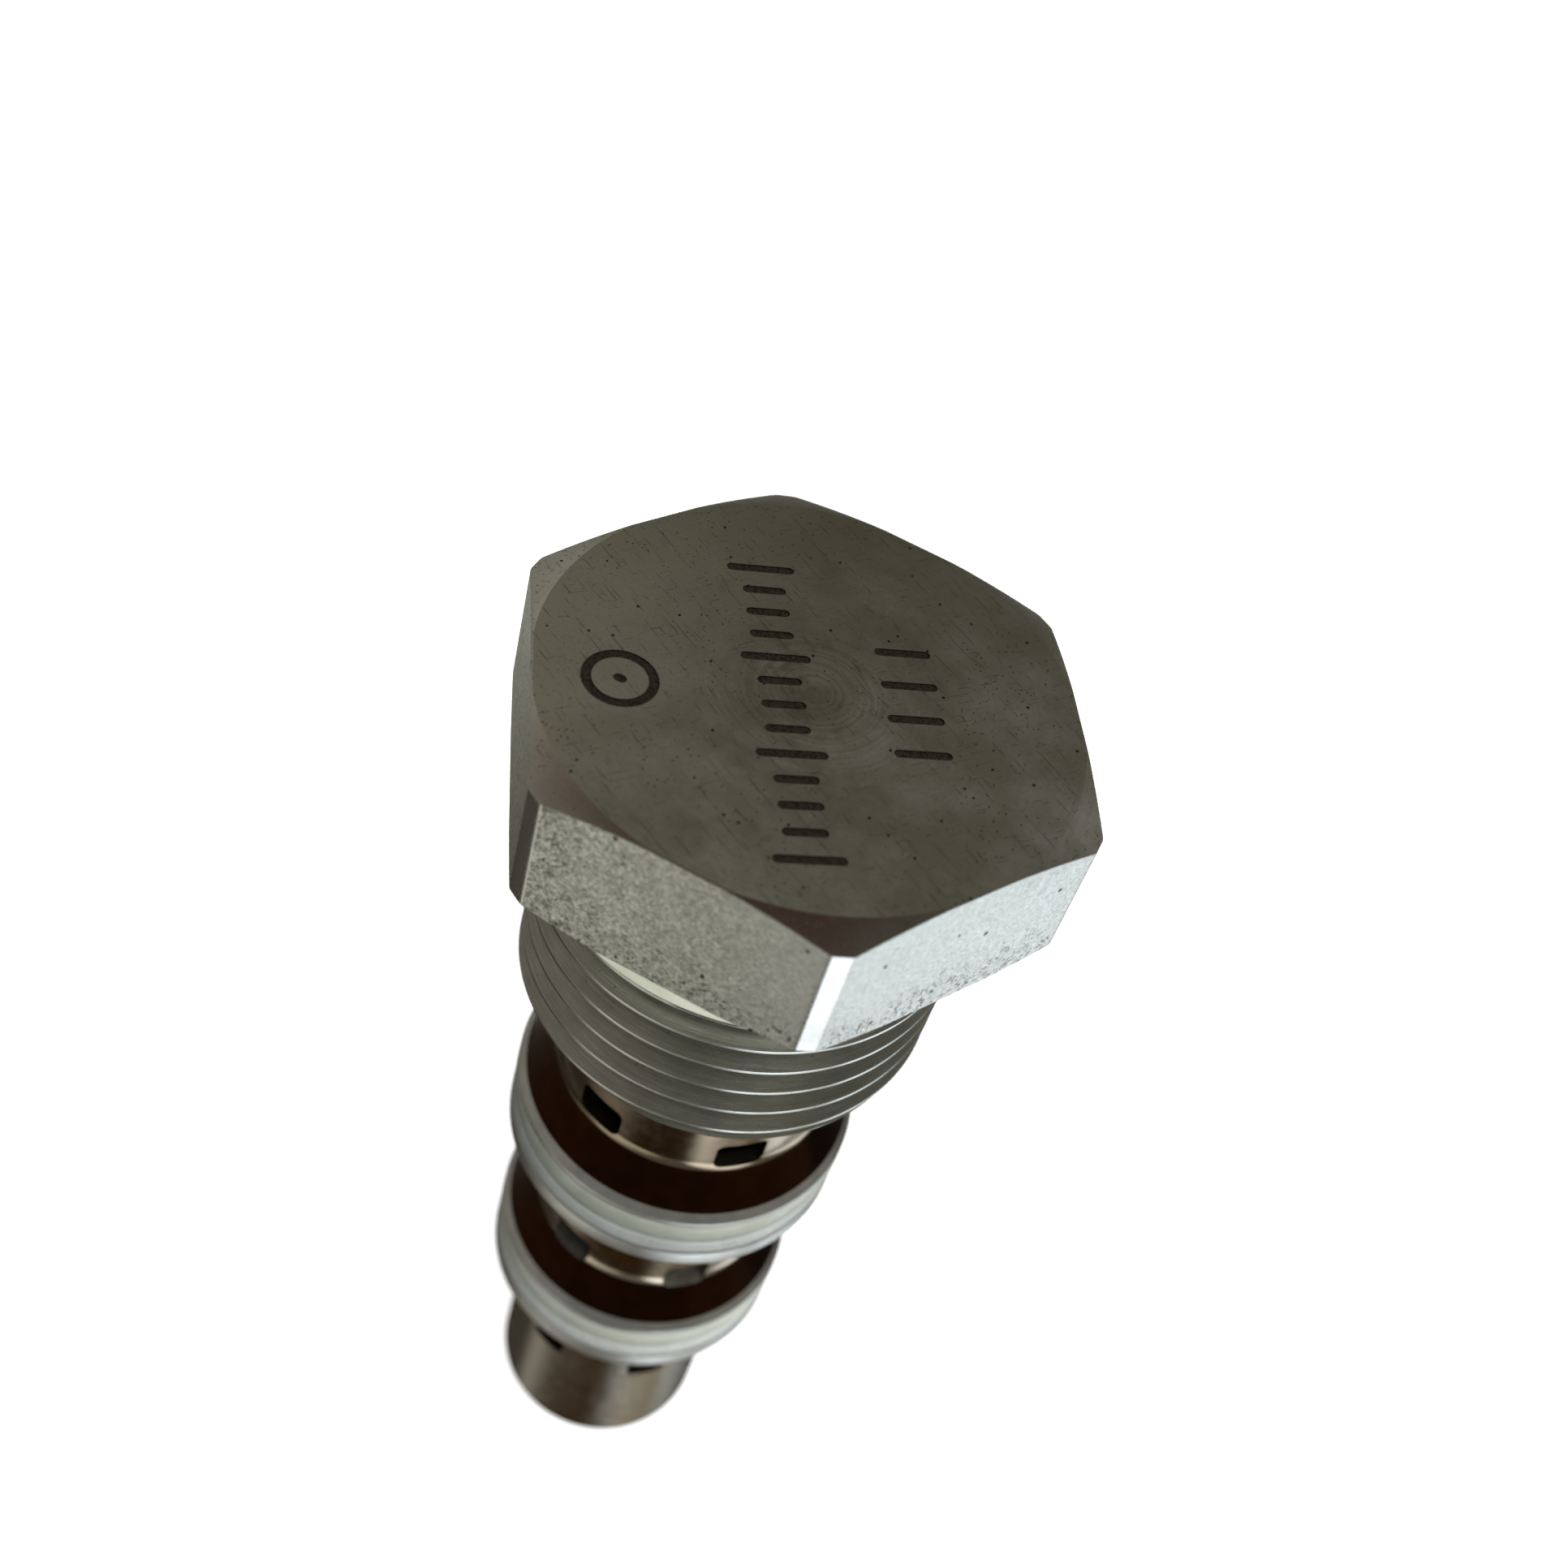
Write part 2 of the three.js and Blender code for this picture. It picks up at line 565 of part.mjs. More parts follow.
addPiece('spool', spool(), HONED_STEEL, 0, 0, slidingGroup);
addPiece('upper_orifice', orifice(), BRASS, SPOOL_TOP_Z - ORIFICE_DEPTH, 0, slidingGroup);
addPiece('lower_orifice', flipped(orifice()), BRASS, SPOOL_END_Z + ORIFICE_DEPTH, 0, slidingGroup);
addPiece('upper_spring_guide', springGuide(), RING_STEEL, SPOOL_TOP_Z + TOUCH, 0, slidingGroup);
addPiece('lower_spring_guide', flipped(springGuide()), RING_STEEL, SPOOL_END_Z - TOUCH, 0, slidingGroup);

// ---------------------------------------------------------------- centring springs

// Height of the wire along a coil: one closed turn at each end and an even pitch between them.
function springHeight(length) {
  const closedPitch = 2 * SPRING_WIRE_R + 0.06;
  const closedShare = 1 / SPRING_TURNS;
  const bottom = SPRING_WIRE_R;
  const top = length - SPRING_WIRE_R;
  return (t) => {
    if (t < closedShare) {
      return bottom + closedPitch * t / closedShare;
    }
    if (t > 1 - closedShare) {
      return top - closedPitch * (1 - t) / closedShare;
    }
    const share = (t - closedShare) / (1 - 2 * closedShare);
    return bottom + closedPitch + share * (top - bottom - 2 * closedPitch);
  };
}

function spring(length) {
  const wire = [];
  for (let i = 0; i < 6; i += 1) {
    const angle = TURN * i / 6;
    wire.push([SPRING_WIRE_R * Math.cos(angle), SPRING_WIRE_R * Math.sin(angle)]);
  }
  return coil(wire, new CoilPath(SPRING_COIL_R, SPRING_TURNS, springHeight(length)), 12);
}

const upperSpringEndZ = SPOOL_TOP_Z + GUIDE_THICKNESS + 2 * TOUCH;
const shimTopZ = PLUG_BORE_TOP_Z - TOUCH;
const springLength = shimTopZ - SHIM_THICKNESS - TOUCH - upperSpringEndZ;
const lowerSpringEndZ = SPOOL_END_Z - GUIDE_THICKNESS - 2 * TOUCH - springLength;
addPiece('upper_spring', spring(springLength), SPRING_STEEL, upperSpringEndZ);
addPiece('lower_spring', spring(springLength), SPRING_STEEL, lowerSpringEndZ);

// Washers that set the preload of the springs
function shim(outerR) {
  return band(SHIM_INNER_R, outerR, 0, SHIM_THICKNESS);
}

addPiece('upper_spring_shim', shim(PLUG_BORE_R - SHIM_PLAY), RING_STEEL, shimTopZ - SHIM_THICKNESS);
addPiece('lower_spring_shim', shim(NOSE_BORE_R - SHIM_PLAY), RING_STEEL, NOSE_PLUG_TOP_Z + TOUCH);

// ---------------------------------------------------------------- nose end plug

const NOSE_GLAND_Z = NOSE_PLUG_TOP_Z - NOSE_GLAND_DROP;
const NOSE_PLUG_END_Z = NOSE_RING_Z + NOSE_RING_THICKNESS / 2 + TOUCH;

function nosePlug() {
  const outerR = NOSE_COUNTERBORE_R - RUNNING_GAP;
  const body = turned([
    [0, NOSE_PLUG_END_Z],
    [outerR, NOSE_PLUG_END_Z],
    [outerR, NOSE_GLAND_Z - NOSE_GLAND_WIDTH / 2],
    [NOSE_GLAND_R, NOSE_GLAND_Z - NOSE_GLAND_WIDTH / 2],
    [NOSE_GLAND_R, NOSE_GLAND_Z + NOSE_GLAND_WIDTH / 2],
    [outerR, NOSE_GLAND_Z + NOSE_GLAND_WIDTH / 2],
    [outerR, NOSE_PLUG_TOP_Z],
    [NOSE_SPIGOT_R, NOSE_PLUG_TOP_Z],
    [NOSE_SPIGOT_TIP_R, NOSE_PLUG_TOP_Z + NOSE_SPIGOT_HEIGHT],
    [0, NOSE_PLUG_TOP_Z + NOSE_SPIGOT_HEIGHT],
  ]);
  const hole = drum(NOSE_HOLE_R, NOSE_PLUG_END_Z - 1, NOSE_PLUG_END_Z + NOSE_HOLE_DEPTH, SMALL_SIDES);
  return body.subtract(hole);
}

// Internal retaining ring: a split flat ring with a drilled lug at each side of its gap.
function noseSnapRing() {
  const half = NOSE_RING_THICKNESS / 2;
  const lugOverlap = 0.2; // how far each lug reaches past the end of the ring
  const lugY = NOSE_RING_GAP / 2 + LUG_R - lugOverlap;
  let ring = splitRing(NOSE_RING_INNER_R, NOSE_RING_OUTER_R, NOSE_RING_THICKNESS, NOSE_RING_GAP);
  for (const side of [-1, 1]) {
    ring = ring.add(drum(LUG_R, -half, half, SMALL_SIDES).translate([LUG_X, side * lugY, 0]));
    ring = ring.subtract(drum(LUG_HOLE_R, -1, 1, SMALL_SIDES).translate([LUG_X, side * lugY, 0]));
  }
  return ring;
}

addPiece('nose_plug', nosePlug(), PLATED_STEEL);
const noseRingR = NOSE_GLAND_R + TOUCH + NOSE_WIRE_R;
addPiece('nose_plug_o_ring', oRing(noseRingR, NOSE_WIRE_R), DARK_RUBBER, NOSE_GLAND_Z);
addPiece('nose_snap_ring', noseSnapRing(), RING_STEEL, NOSE_RING_Z);

model.position.z = -NOSE_END_Z;

export default model;
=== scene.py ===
"""Looks of a screw-in hydraulic cartridge valve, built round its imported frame.

Every piece is turned, swept or cut as a closed mesh in millimetres and turned into metres once, in
mesh_piece(). Sizes that the frame holds are read from its boxes; the finer ones are named below.
"""

import math

import bmesh
import bpy
import numpy as np
from mathutils import Matrix, Vector


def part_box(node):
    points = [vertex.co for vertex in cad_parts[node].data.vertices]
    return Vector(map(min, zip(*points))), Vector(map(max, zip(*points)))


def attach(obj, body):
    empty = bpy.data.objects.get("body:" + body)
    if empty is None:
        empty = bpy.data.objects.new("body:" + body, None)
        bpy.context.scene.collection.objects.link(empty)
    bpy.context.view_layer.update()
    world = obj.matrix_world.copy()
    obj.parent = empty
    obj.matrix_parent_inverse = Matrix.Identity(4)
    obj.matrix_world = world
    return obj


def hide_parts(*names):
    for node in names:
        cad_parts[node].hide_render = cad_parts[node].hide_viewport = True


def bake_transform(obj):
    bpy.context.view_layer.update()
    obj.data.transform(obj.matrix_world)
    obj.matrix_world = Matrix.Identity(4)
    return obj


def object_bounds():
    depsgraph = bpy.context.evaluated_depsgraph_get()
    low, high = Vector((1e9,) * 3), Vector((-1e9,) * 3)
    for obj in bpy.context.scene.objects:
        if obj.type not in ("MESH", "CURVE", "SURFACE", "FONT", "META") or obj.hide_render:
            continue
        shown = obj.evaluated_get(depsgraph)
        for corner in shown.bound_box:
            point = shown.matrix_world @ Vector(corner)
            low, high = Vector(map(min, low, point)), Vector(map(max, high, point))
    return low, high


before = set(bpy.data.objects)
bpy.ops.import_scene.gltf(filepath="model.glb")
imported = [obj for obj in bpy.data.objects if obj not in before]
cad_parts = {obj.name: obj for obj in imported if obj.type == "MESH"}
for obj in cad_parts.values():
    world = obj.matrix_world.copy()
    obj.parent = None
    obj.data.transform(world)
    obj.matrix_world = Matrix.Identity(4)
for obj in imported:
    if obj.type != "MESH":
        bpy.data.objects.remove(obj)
cad_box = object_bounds()

# -------- driving sizes, in millimetres

MM = 0.001
TURN = 2 * math.pi
SEGMENTS = 240  # round a full turn
SMALL_SEGMENTS = 160  # round the small inner pieces
ARC_STEPS = 5  # in each small fillet
STRAIGHT = 0.02  # a corner that turns by fewer radians gets no fillet
MOST_OF_SIDE = 0.48  # share of a side that one fillet may take
ROUND_STEPS = 8  # in each round corner of a window or end of an engraved stroke
MERGE = 0.0012  # corners closer than this are one corner
SHARP_ANGLE = math.radians(32)
INCH = 25.4

# Heights are measured from the underside of the hex, which stands SEAT_HEIGHT above the frame's origin
HEX_TOP_Z = 0.38 * INCH
SEAT_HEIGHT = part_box("hex_plug")[1].z / MM - HEX_TOP_Z


def heights(node):
    """Lowest and highest height of a CAD node."""
    low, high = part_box(node)
    return low.z / MM - SEAT_HEIGHT, high.z / MM - SEAT_HEIGHT


def outer_r(node):
    """Outer radius of a CAD node."""
    return -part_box(node)[0].x / MM


def reach(node):
    """Outer radius, lowest and highest height of a CAD node."""
    return (outer_r(node), *heights(node))


def in_frame(height):
    """A point on the axis at this height, in the frame's metres."""
    return (0.0, 0.0, (height + SEAT_HEIGHT) * MM)


# Hex plug
HEX_CORNER_R = outer_r("hex_plug")
THREAD_END_Z = heights("hex_plug")[0]
HEX_FLAT_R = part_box("hex_plug")[1].y / MM
HEX_TOP_FACE_R = 15.95
HEX_TOP_SLOPE = math.tan(math.radians(20))
HEX_SEAT_FACE_R = 16.24
HEX_SEAT_SLOPE = math.tan(math.radians(18))
HEX_EDGE = 0.1  # broken edges
PLUG_COLUMNS = 480
CORNER_CROWDING = 0.6  # how much closer the columns stand at the hex corners
UNDERCUT_R = 11.72
THREAD_TOP_Z = -3.15
THREAD_PITCH = INCH / 12
THREAD_MAJOR_R = 1.0625 * INCH / 2
THREAD_DEPTH = 0.6134 * THREAD_PITCH
THREAD_MINOR_R = THREAD_MAJOR_R - THREAD_DEPTH
THREAD_CREST_Z = -5.84  # height of one crest at azimuth zero
THREAD_CREST_FLAT = THREAD_PITCH / 8
THREAD_ROUND = 0.05  # rounding of the crest's edges
THREAD_STEP = 0.1  # most rise between two rows of thread points
THREAD_TOP_CHAMFER = 1.0
THREAD_END_CHAMFER = 0.7
THREAD_END_R = 12.85
SOCKET_R = 9.45
SOCKET_TOP_Z = -9.18
PLUG_BORE_R = 5.6
PLUG_BORE_TOP_Z = -2.02
SNAP_GROOVE_R = 10.0
GROOVE_PLAY = 0.05
MARK_DEPTH = 0.09
MARK_WIDTH = 0.6

# Cage
NOSE_R = 8.0
NOSE_BORE_R = 5.4
NOSE_COUNTERBORE_R = 6.4
NOSE_RING_GROOVE_R = 7.05
CAGE_BORE_R = 6.03
CAGE_COLLAR_R = 9.4
COLLAR_GLAND_R = 7.9
COLLAR_GLAND_TOP_Z = -10.4
COLLAR_GLAND_END_Z = -13.3
SNAP_GROOVE_INNER_R = 8.9
UPPER_NECK_R = 9.65
LOWER_NECK_R = 8.65
SPOOL_STOP_Z = -58.04
LAND_HEIGHT = 5.6
GLAND_DROP = 0.35
GLAND_WIDTH = 3.6
GLAND_DEPTH = 2.12
BACKUP_SINK = 0.05  # of a backup ring below the rim of its land
BACKUP_GAP = 0.4  # where a backup ring is split,
BACKUP_SPLIT = TURN / 5  # and at which azimuth
LAND_SQUEEZE = 0.62  # of a land's O-ring: 0 is a round section and 1 a square one
FACE_SQUEEZE = 0.4  # of the seal below the hex
SNAP_RING_INNER_R = 8.95
SNAP_RING_GAP = 4.0
TOUCH = 0.02  # gap between pieces that rest on each other
CONE_RIM = 0.5
CONE_TAPER = 1.48 / 2.5
CONE_HEIGHT = 3.5  # at most, from the rim to the neck
NECK_FILLET = 2.4
WINDOWS_PER_ROW = 6
WINDOW_AZIMUTH = math.radians(13)
WINDOW_CORNER_R = 0.6
# rows with dark walls get nearly black window walls: painted shade inside the windows
WINDOW_ROWS = (
    {"z": -23.75, "width": 3.5, "height": 2.5, "recess": 8.6, "walls": "dark"},
    {"z": -41.7, "width": 3.3, "height": 2.4, "recess": 7.4, "walls": "pale"},
    {"z": -57.2, "width": 3.0, "height": 3.2, "recess": None, "walls": "dark"},
)
RECESS_MARGIN = 0.2
UPPER_SHADE_START = 43.0  # height above the nose's end above which the cage is painted darker and browner: painted shade under the hex
NOSE_LIGHTER_TOP = 17.5  # height above the nose's end below which the cage is lighter and rougher
LAND_FACE = 0.08  # how far below a land's radius its outer face still reaches
CREST_FACE = 0.04  # the same for the thread's crests
CORNER_FACE = 0.06  # and for the turned corners of the hex
SHANK_TOP = 0.02  # the shank and the seat face are below this height
INSIDE_FLATS_R = HEX_FLAT_R - 1.0  # the drawn skin of the hex is past this radius
LEVEL = 0.8  # a face whose normal rises more than this is part of the top
RIM_DEPTH = 0.2  # how far the bright rim reaches down on each side of a land's edge
CONE_NORMAL = (0.34, 0.6)  # least and most rise of a normal on the cones

# Spool and springs
SPOOL_GROOVE_R = 4.2
SPOOL_GROOVES = ((-19.6, -39.7), (-43.7, -49.0))
BALANCE_GROOVE_HEIGHTS = (-15.2, -16.6, -18.0, -40.6, -41.7, -42.8, -50.4, -51.8, -53.0)
BALANCE_GROOVE = 0.3
DRILLING_R = 2.35
DRILLING_DEPTH = 9.0
CROSS_HOLE_R = 0.8
CROSS_HOLE_INSET = 1.6  # from the far edge of its groove
CUT_PAST = 1.0  # how far cutting tools reach past a face
SPRING_WIRE_R = 0.5
SPRING_TURNS = 5
COIL_GAP = 0.06  # between a spring's end turn and the next one
SHIM_HOLE_R = 3.35

# -------- node trees


class Tree:
    """Short calls for building one shader's node tree. Values may be numbers or sockets."""

    def __init__(self, tree):
        self.tree = tree
        self.tree.nodes.clear()

    def feed(self, socket, value):
        """Links a socket, or sets a number, a vector or a colour. None leaves the input alone."""
        if isinstance(value, bpy.types.NodeSocket):
            self.tree.links.new(value, socket)
        elif value is not None:
            socket.default_value = (*value, 1.0) if socket.type == "RGBA" else value

    def node(self, kind, *values, **settings):
        """A shader node with these settings and with these values in its first inputs."""
        node = self.tree.nodes.new("ShaderNode" + kind)
        for key, value in settings.items():
            setattr(node, key, value)
        for socket, value in zip(node.inputs, values):
            self.feed(socket, value)
        return node

    def feed_named(self, node, **values):
        """Feeds a node's inputs by their names, written with _ for each space."""
        for key, value in values.items():
            self.feed(node.inputs[key.replace("_", " ")], value)

    def math(self, operation, a, b=0.0, clamp=False):
        return self.node("Math", a, b, operation=operation, use_clamp=clamp).outputs[0]

    def times(self, a, b):
        return self.math("MULTIPLY", a, b)

    def larger(self, a, b):
        return self.math("MAXIMUM", a, b)

    def span(self, value, low, high, to_low=0.0, to_high=1.0, smooth=False):
        """value from low..high to to_low..to_high, held at the ends."""
        kind = "SMOOTHSTEP" if smooth else "LINEAR"
        values = (value, low, high, to_low, to_high)
        return self.node("MapRange", *values, interpolation_type=kind, clamp=True).outputs[0]

    def mix(self, share, a, b):
        """Colour a, blended into colour b by a share from 0 to 1."""
        node = self.node("Mix", share, data_type="RGBA")
        self.feed(node.inputs[6], a)
        self.feed(node.inputs[7], b)
        return node.outputs[2]

    def noise(self, vector, scale, detail, roughness, w=None):
        size = "3D" if w is None else "4D"
        values = (vector, w, scale, detail, roughness)
        return self.node("TexNoise", *values, noise_dimensions=size).outputs[0]

    def scaled(self, vector, factors):
        return self.node("VectorMath", vector, factors, operation="MULTIPLY").outputs[0]

    def towards(self, vector, direction):
        """Cosine of the angle between two unit vectors."""
        return self.node("VectorMath", vector, direction, operation="DOT_PRODUCT").outputs[1]


class Finish(Tree):
    """A material in millimetres of the valve's own frame. Its colour is built up from base in coats."""

    def __init__(self, name, base):
        self.material = bpy.data.materials.new(name)
        self.material.use_nodes = True
        super().__init__(self.material.node_tree)
        self.colour = base
        coordinates = self.node("TexCoord")
        self.place = self.scaled(coordinates.outputs["Object"], (1 / MM,) * 3)
        self.x, self.y, self.z = self.node("SeparateXYZ", self.place).outputs[:]
        squares = self.math("ADD", self.times(self.x, self.x), self.times(self.y, self.y))
        self.r = self.math("SQRT", squares)

    def coat(self, share, colour):
        """Lays a colour over the earlier ones, by a share from 0 to 1."""
        self.colour = self.mix(share, self.colour, colour)

    def clouds(self, scale, detail, roughness):
        """Noise that runs the same way in every direction."""
        return self.noise(self.place, scale, detail, roughness)

    def dots(self, scale, share, size):
        """One where a small round spot falls, in the given share of cells."""
        cells = self.node("TexVoronoi", self.place, None, scale, feature="F1")
        split = self.node("SeparateColor", cells.outputs["Color"])
        chosen = self.math("GREATER_THAN", split.outputs[0], 1.0 - share)
        spot = self.span(cells.outputs["Distance"], size, size * 0.5, smooth=True)
        return self.times(chosen, spot)

    def turning(self, scale, streak, detail=2.0):
        """Tool lines that run round the axis; streak is how fast they change along the line."""
        safe_r = self.larger(self.r, 0.01)
        turn_x, turn_y = (self.times(self.math("DIVIDE", side, safe_r), streak) for side in (self.x, self.y))
        join = self.node("CombineXYZ", self.times(self.r, scale), self.times(self.z, scale), turn_x)
        return self.noise(join.outputs[0], 1.0, detail, 0.6, w=turn_y)

    def scratches(self, angle, length_scale, width_scale, share):
        """Short straight scratches that run at the given angle across X and Y."""
        turned_place = self.node("Mapping", self.place)
        turned_place.inputs["Rotation"].default_value = (0.0, 0.0, angle)
        stretched = self.scaled(turned_place.outputs[0], (length_scale, width_scale, width_scale))
        field = self.noise(stretched, 1.0, 1.0, 0.4)
        return self.span(field, 1.0 - share, 1.0 - share + 0.03)

    def bumps(self, *layers):
        """Chains (height, depth in millimetres) pairs into one normal."""
        normal = None
        for height, depth in layers:
            node = self.node("Bump", 1.0, depth * MM)
            self.feed_named(node, Height=height, Normal=normal)
            normal = node.outputs[0]
        return normal

    def close(self, roughness, metallic, normal=None, **extra):
        shader = self.node("BsdfPrincipled", self.colour)
        self.feed_named(shader, Roughness=roughness, Metallic=metallic, Normal=normal, **extra)
        self.node("OutputMaterial", shader.outputs[0])
        return self.material


# -------- materials


def hex_top_finish():
    """Faced on a lathe: fine rings that are clearest near the middle, pits, hairlines and stains, with a
    painted highlight towards -X and painted shade towards +Y.
    """
    f = Finish("hex_top_steel", (0.44, 0.42, 0.36))
    fine_rings = f.turning(7.0, 0.8)
    clear_rings = f.turning(4.2, 0.3, 1.0)
    near_middle = f.span(f.r, 2.0, 8.5, 1.0, 0.0)
    stains = f.clouds(0.22, 4.0, 0.6)
    patches = f.clouds(0.55, 3.0, 0.6)
    grain = f.clouds(9.0, 3.0, 0.7)
    worn = f.span(f.clouds(0.13, 2.0, 0.5), 0.42, 0.62, 0.35, 1.0)
    pits = f.dots(0.9, 0.4, 0.12)
    fine_pits = f.times(f.dots(3.0, 0.4, 0.28), worn)
    hairlines = f.scratches(0.5, 0.5, 9.0, 0.31)
    cross_lines = f.scratches(-0.9, 0.7, 12.0, 0.29)
    marked = f.larger(hairlines, cross_lines)
    f.coat(f.span(stains, 0.38, 0.66), (0.68, 0.68, 0.66))
    f.coat(f.span(fine_rings, 0.3, 0.7, 0.0, 0.35), (0.42, 0.41, 0.38))
    ring_share = f.times(f.span(clear_rings, 0.42, 0.58), near_middle)
    f.coat(f.times(ring_share, 0.38), (0.27, 0.25, 0.2))
    tarnish = f.times(f.span(patches, 0.5, 0.62), near_middle)
    f.coat(f.times(tarnish, 0.5), (0.27, 0.23, 0.17))
    # painted light: lighter towards -X as a painted highlight, darker towards +Y as painted shade
    f.coat(f.span(f.x, -3.0, -12.0, 0.0, 0.62), (0.88, 0.87, 0.83))
    f.coat(f.span(f.y, 1.0, 13.0, 0.0, 0.4), (0.34, 0.31, 0.24))
    f.coat(f.span(grain, 0.45, 0.75, 0.0, 0.3), (0.3, 0.29, 0.26))
    dark = f.larger(pits, f.times(fine_pits, 0.7))
    f.coat(dark, (0.06, 0.05, 0.04))
    f.coat(f.times(marked, 0.55), (0.17, 0.16, 0.14))
    roughness = f.span(stains, 0.3, 0.7, 0.34, 0.27)
    sunk = f.times(f.larger(dark, marked), -1.0)
    normal = f.bumps((fine_rings, 0.002), (ring_share, 0.003), (grain, 0.003), (sunk, 0.012))
    return f.close(roughness, 1.0, normal)


def hex_flat_finish():
    """Drawn bar stock: a cloudy, speckled skin with dark flecks, thickest near the seat and one corner, and
    a painted highlight on the flats towards +X.
    """
    f = Finish("hex_flat_steel", (0.42, 0.42, 0.36))
    clouds = f.clouds(0.9, 5.0, 0.65)
    speckle = f.clouds(4.2, 4.0, 0.72)
    flecks = f.dots(1.7, 0.55, 0.24)
    small_flecks = f.dots(3.6, 0.6, 0.34)
    smudges = f.span(f.clouds(2.6, 5.0, 0.78), 0.55, 0.62)
    dents = f.dots(0.8, 0.4, 0.15)
    lines = f.scratches(0.35, 1.1, 9.0, 0.27)
    low = f.span(f.z, SEAT_HEIGHT + 4.0, SEAT_HEIGHT + 0.4)
    aside = f.span(f.x, -1.0, -8.5)
    dirt = f.clouds(0.8, 3.0, 0.6)
    worn = f.math("ADD", f.larger(low, aside), f.span(dirt, 0.35, 0.65, -0.55, 0.25), clamp=True)
    f.coat(f.span(speckle, 0.38, 0.62), (0.84, 0.84, 0.81))
    f.coat(f.span(clouds, 0.42, 0.66, 0.0, 0.5), (0.46, 0.45, 0.4))
    # painted highlight: the flats are painted lighter towards +X
    f.coat(f.span(f.x, 2.0, 9.0, 0.0, 0.6), (0.78, 0.79, 0.78))
    fleck_share = f.larger(flecks, f.times(small_flecks, 0.85))
    fleck_share = f.larger(fleck_share, f.times(smudges, 0.7))
    fleck_share = f.times(fleck_share, f.span(worn, 0.1, 0.9, 0.06, 0.9))
    f.coat(fleck_share, (0.13, 0.12, 0.095))
    nicks = f.larger(dents, f.times(lines, 0.35))
    f.coat(nicks, (0.07, 0.07, 0.06))
    roughness = f.span(speckle, 0.3, 0.7, 0.42, 0.3)
    sunk = f.times(f.larger(fleck_share, dents), -1.0)
    normal = f.bumps((clouds, 0.012), (speckle, 0.02), (sunk, 0.02))
    return f.close(roughness, 1.0, normal)


def thread_finish():
    """Cut thread: tool lines along each flank and a grey film that varies round it."""
    f = Finish("thread_steel", (0.4, 0.4, 0.36))
    lines = f.turning(16.0, 2.2, 3.0)
    streaks = f.turning(5.0, 5.0, 2.0)
    film = f.clouds(0.28, 3.0, 0.6)
    specks = f.dots(2.4, 0.1, 0.2)
    f.coat(f.span(lines, 0.3, 0.7), (0.62, 0.62, 0.58))
    f.coat(f.span(streaks, 0.55, 0.7, 0.0, 0.5), (0.7, 0.7, 0.68))
    f.coat(f.span(film, 0.4, 0.7, 0.0, 0.45), (0.32, 0.31, 0.26))
    f.coat(f.times(specks, 0.6), (0.12, 0.11, 0.09))
    roughness = f.span(streaks, 0.4, 0.7, 0.33, 0.24)
    normal = f.bumps((lines, 0.006), (streaks, 0.004))
    return f.close(roughness, 1.0, normal)


def mark_finish():
    """Burnt floor of an engraved stroke, made of close round strikes."""
    f = Finish("engraved_mark", (0.005, 0.004, 0.003))
    strikes = f.dots(5.0, 1.0, 0.5)
    burnt = f.clouds(6.0, 2.0, 0.6)
    f.coat(burnt, (0.022, 0.017, 0.012))
    f.coat(f.times(strikes, 0.6), (0.002, 0.0015, 0.001))
    return f.close(0.85, 0.0, f.bumps((strikes, 0.02)), Specular_IOR_Level=0.15)


def cage_finish():
    """Turned and honed steel with a thin warm film of oil, painted shade under the hex and lighter towards
    the nose's end.
    """
    f = Finish("cage_steel", (0.42, 0.35, 0.26))
    lines = f.turning(14.0, 1.6, 3.0)
    bands = f.turning(1.1, 0.5, 1.0)
    film = f.clouds(0.2, 3.0, 0.55)
    smears = f.clouds(1.3, 3.0, 0.6)
    specks = f.dots(1.6, 0.07, 0.16)
    f.coat(f.span(film, 0.35, 0.65), (0.54, 0.45, 0.34))
    f.coat(f.span(lines, 0.35, 0.7, 0.0, 0.3), (0.4, 0.35, 0.29))
    f.coat(f.span(bands, 0.4, 0.7, 0.0, 0.25), (0.66, 0.6, 0.52))
    # painted shade: the cage is painted darker and browner above the given height, under the hex
    painted_shade_under_hex = f.span(f.z, UPPER_SHADE_START, UPPER_SHADE_START + 1.0, 0.0, 0.5)
    f.coat(painted_shade_under_hex, (0.2, 0.135, 0.075))
    lighter_nose_end = f.span(f.z, NOSE_LIGHTER_TOP, NOSE_LIGHTER_TOP - 2.0, 0.0, 0.8)
    f.coat(lighter_nose_end, (0.82, 0.8, 0.74))
    f.coat(f.times(specks, 0.5), (0.12, 0.09, 0.06))
    roughness = f.math("ADD", f.span(smears, 0.35, 0.7, 0.1, 0.17), f.times(lighter_nose_end, 0.1))
    return f.close(roughness, 1.0, f.bumps((lines, 0.0014), (smears, 0.003)))


def clouded(name, dark, light, scale):
    """A finish that drifts softly between two colours."""
    f = Finish(name, dark)
    f.coat(f.span(f.clouds(scale, 3.0, 0.6), 0.3, 0.7), light)
    return f


def ground_finish(name, dark, light, rough, line_scale=18.0):
    """Any other machined metal: fine lines round the axis, faint clouds and a few specks."""
    f = clouded(name, dark, light, 0.6)
    lines = f.turning(line_scale, 1.2, 2.0)
    f.coat(f.times(f.dots(2.0, 0.06, 0.16), 0.5), (0.06, 0.05, 0.05))
    roughness = f.span(lines, 0.3, 0.7, rough, rough + 0.1)
    return f.close(roughness, 1.0, f.bumps((lines, 0.002)))


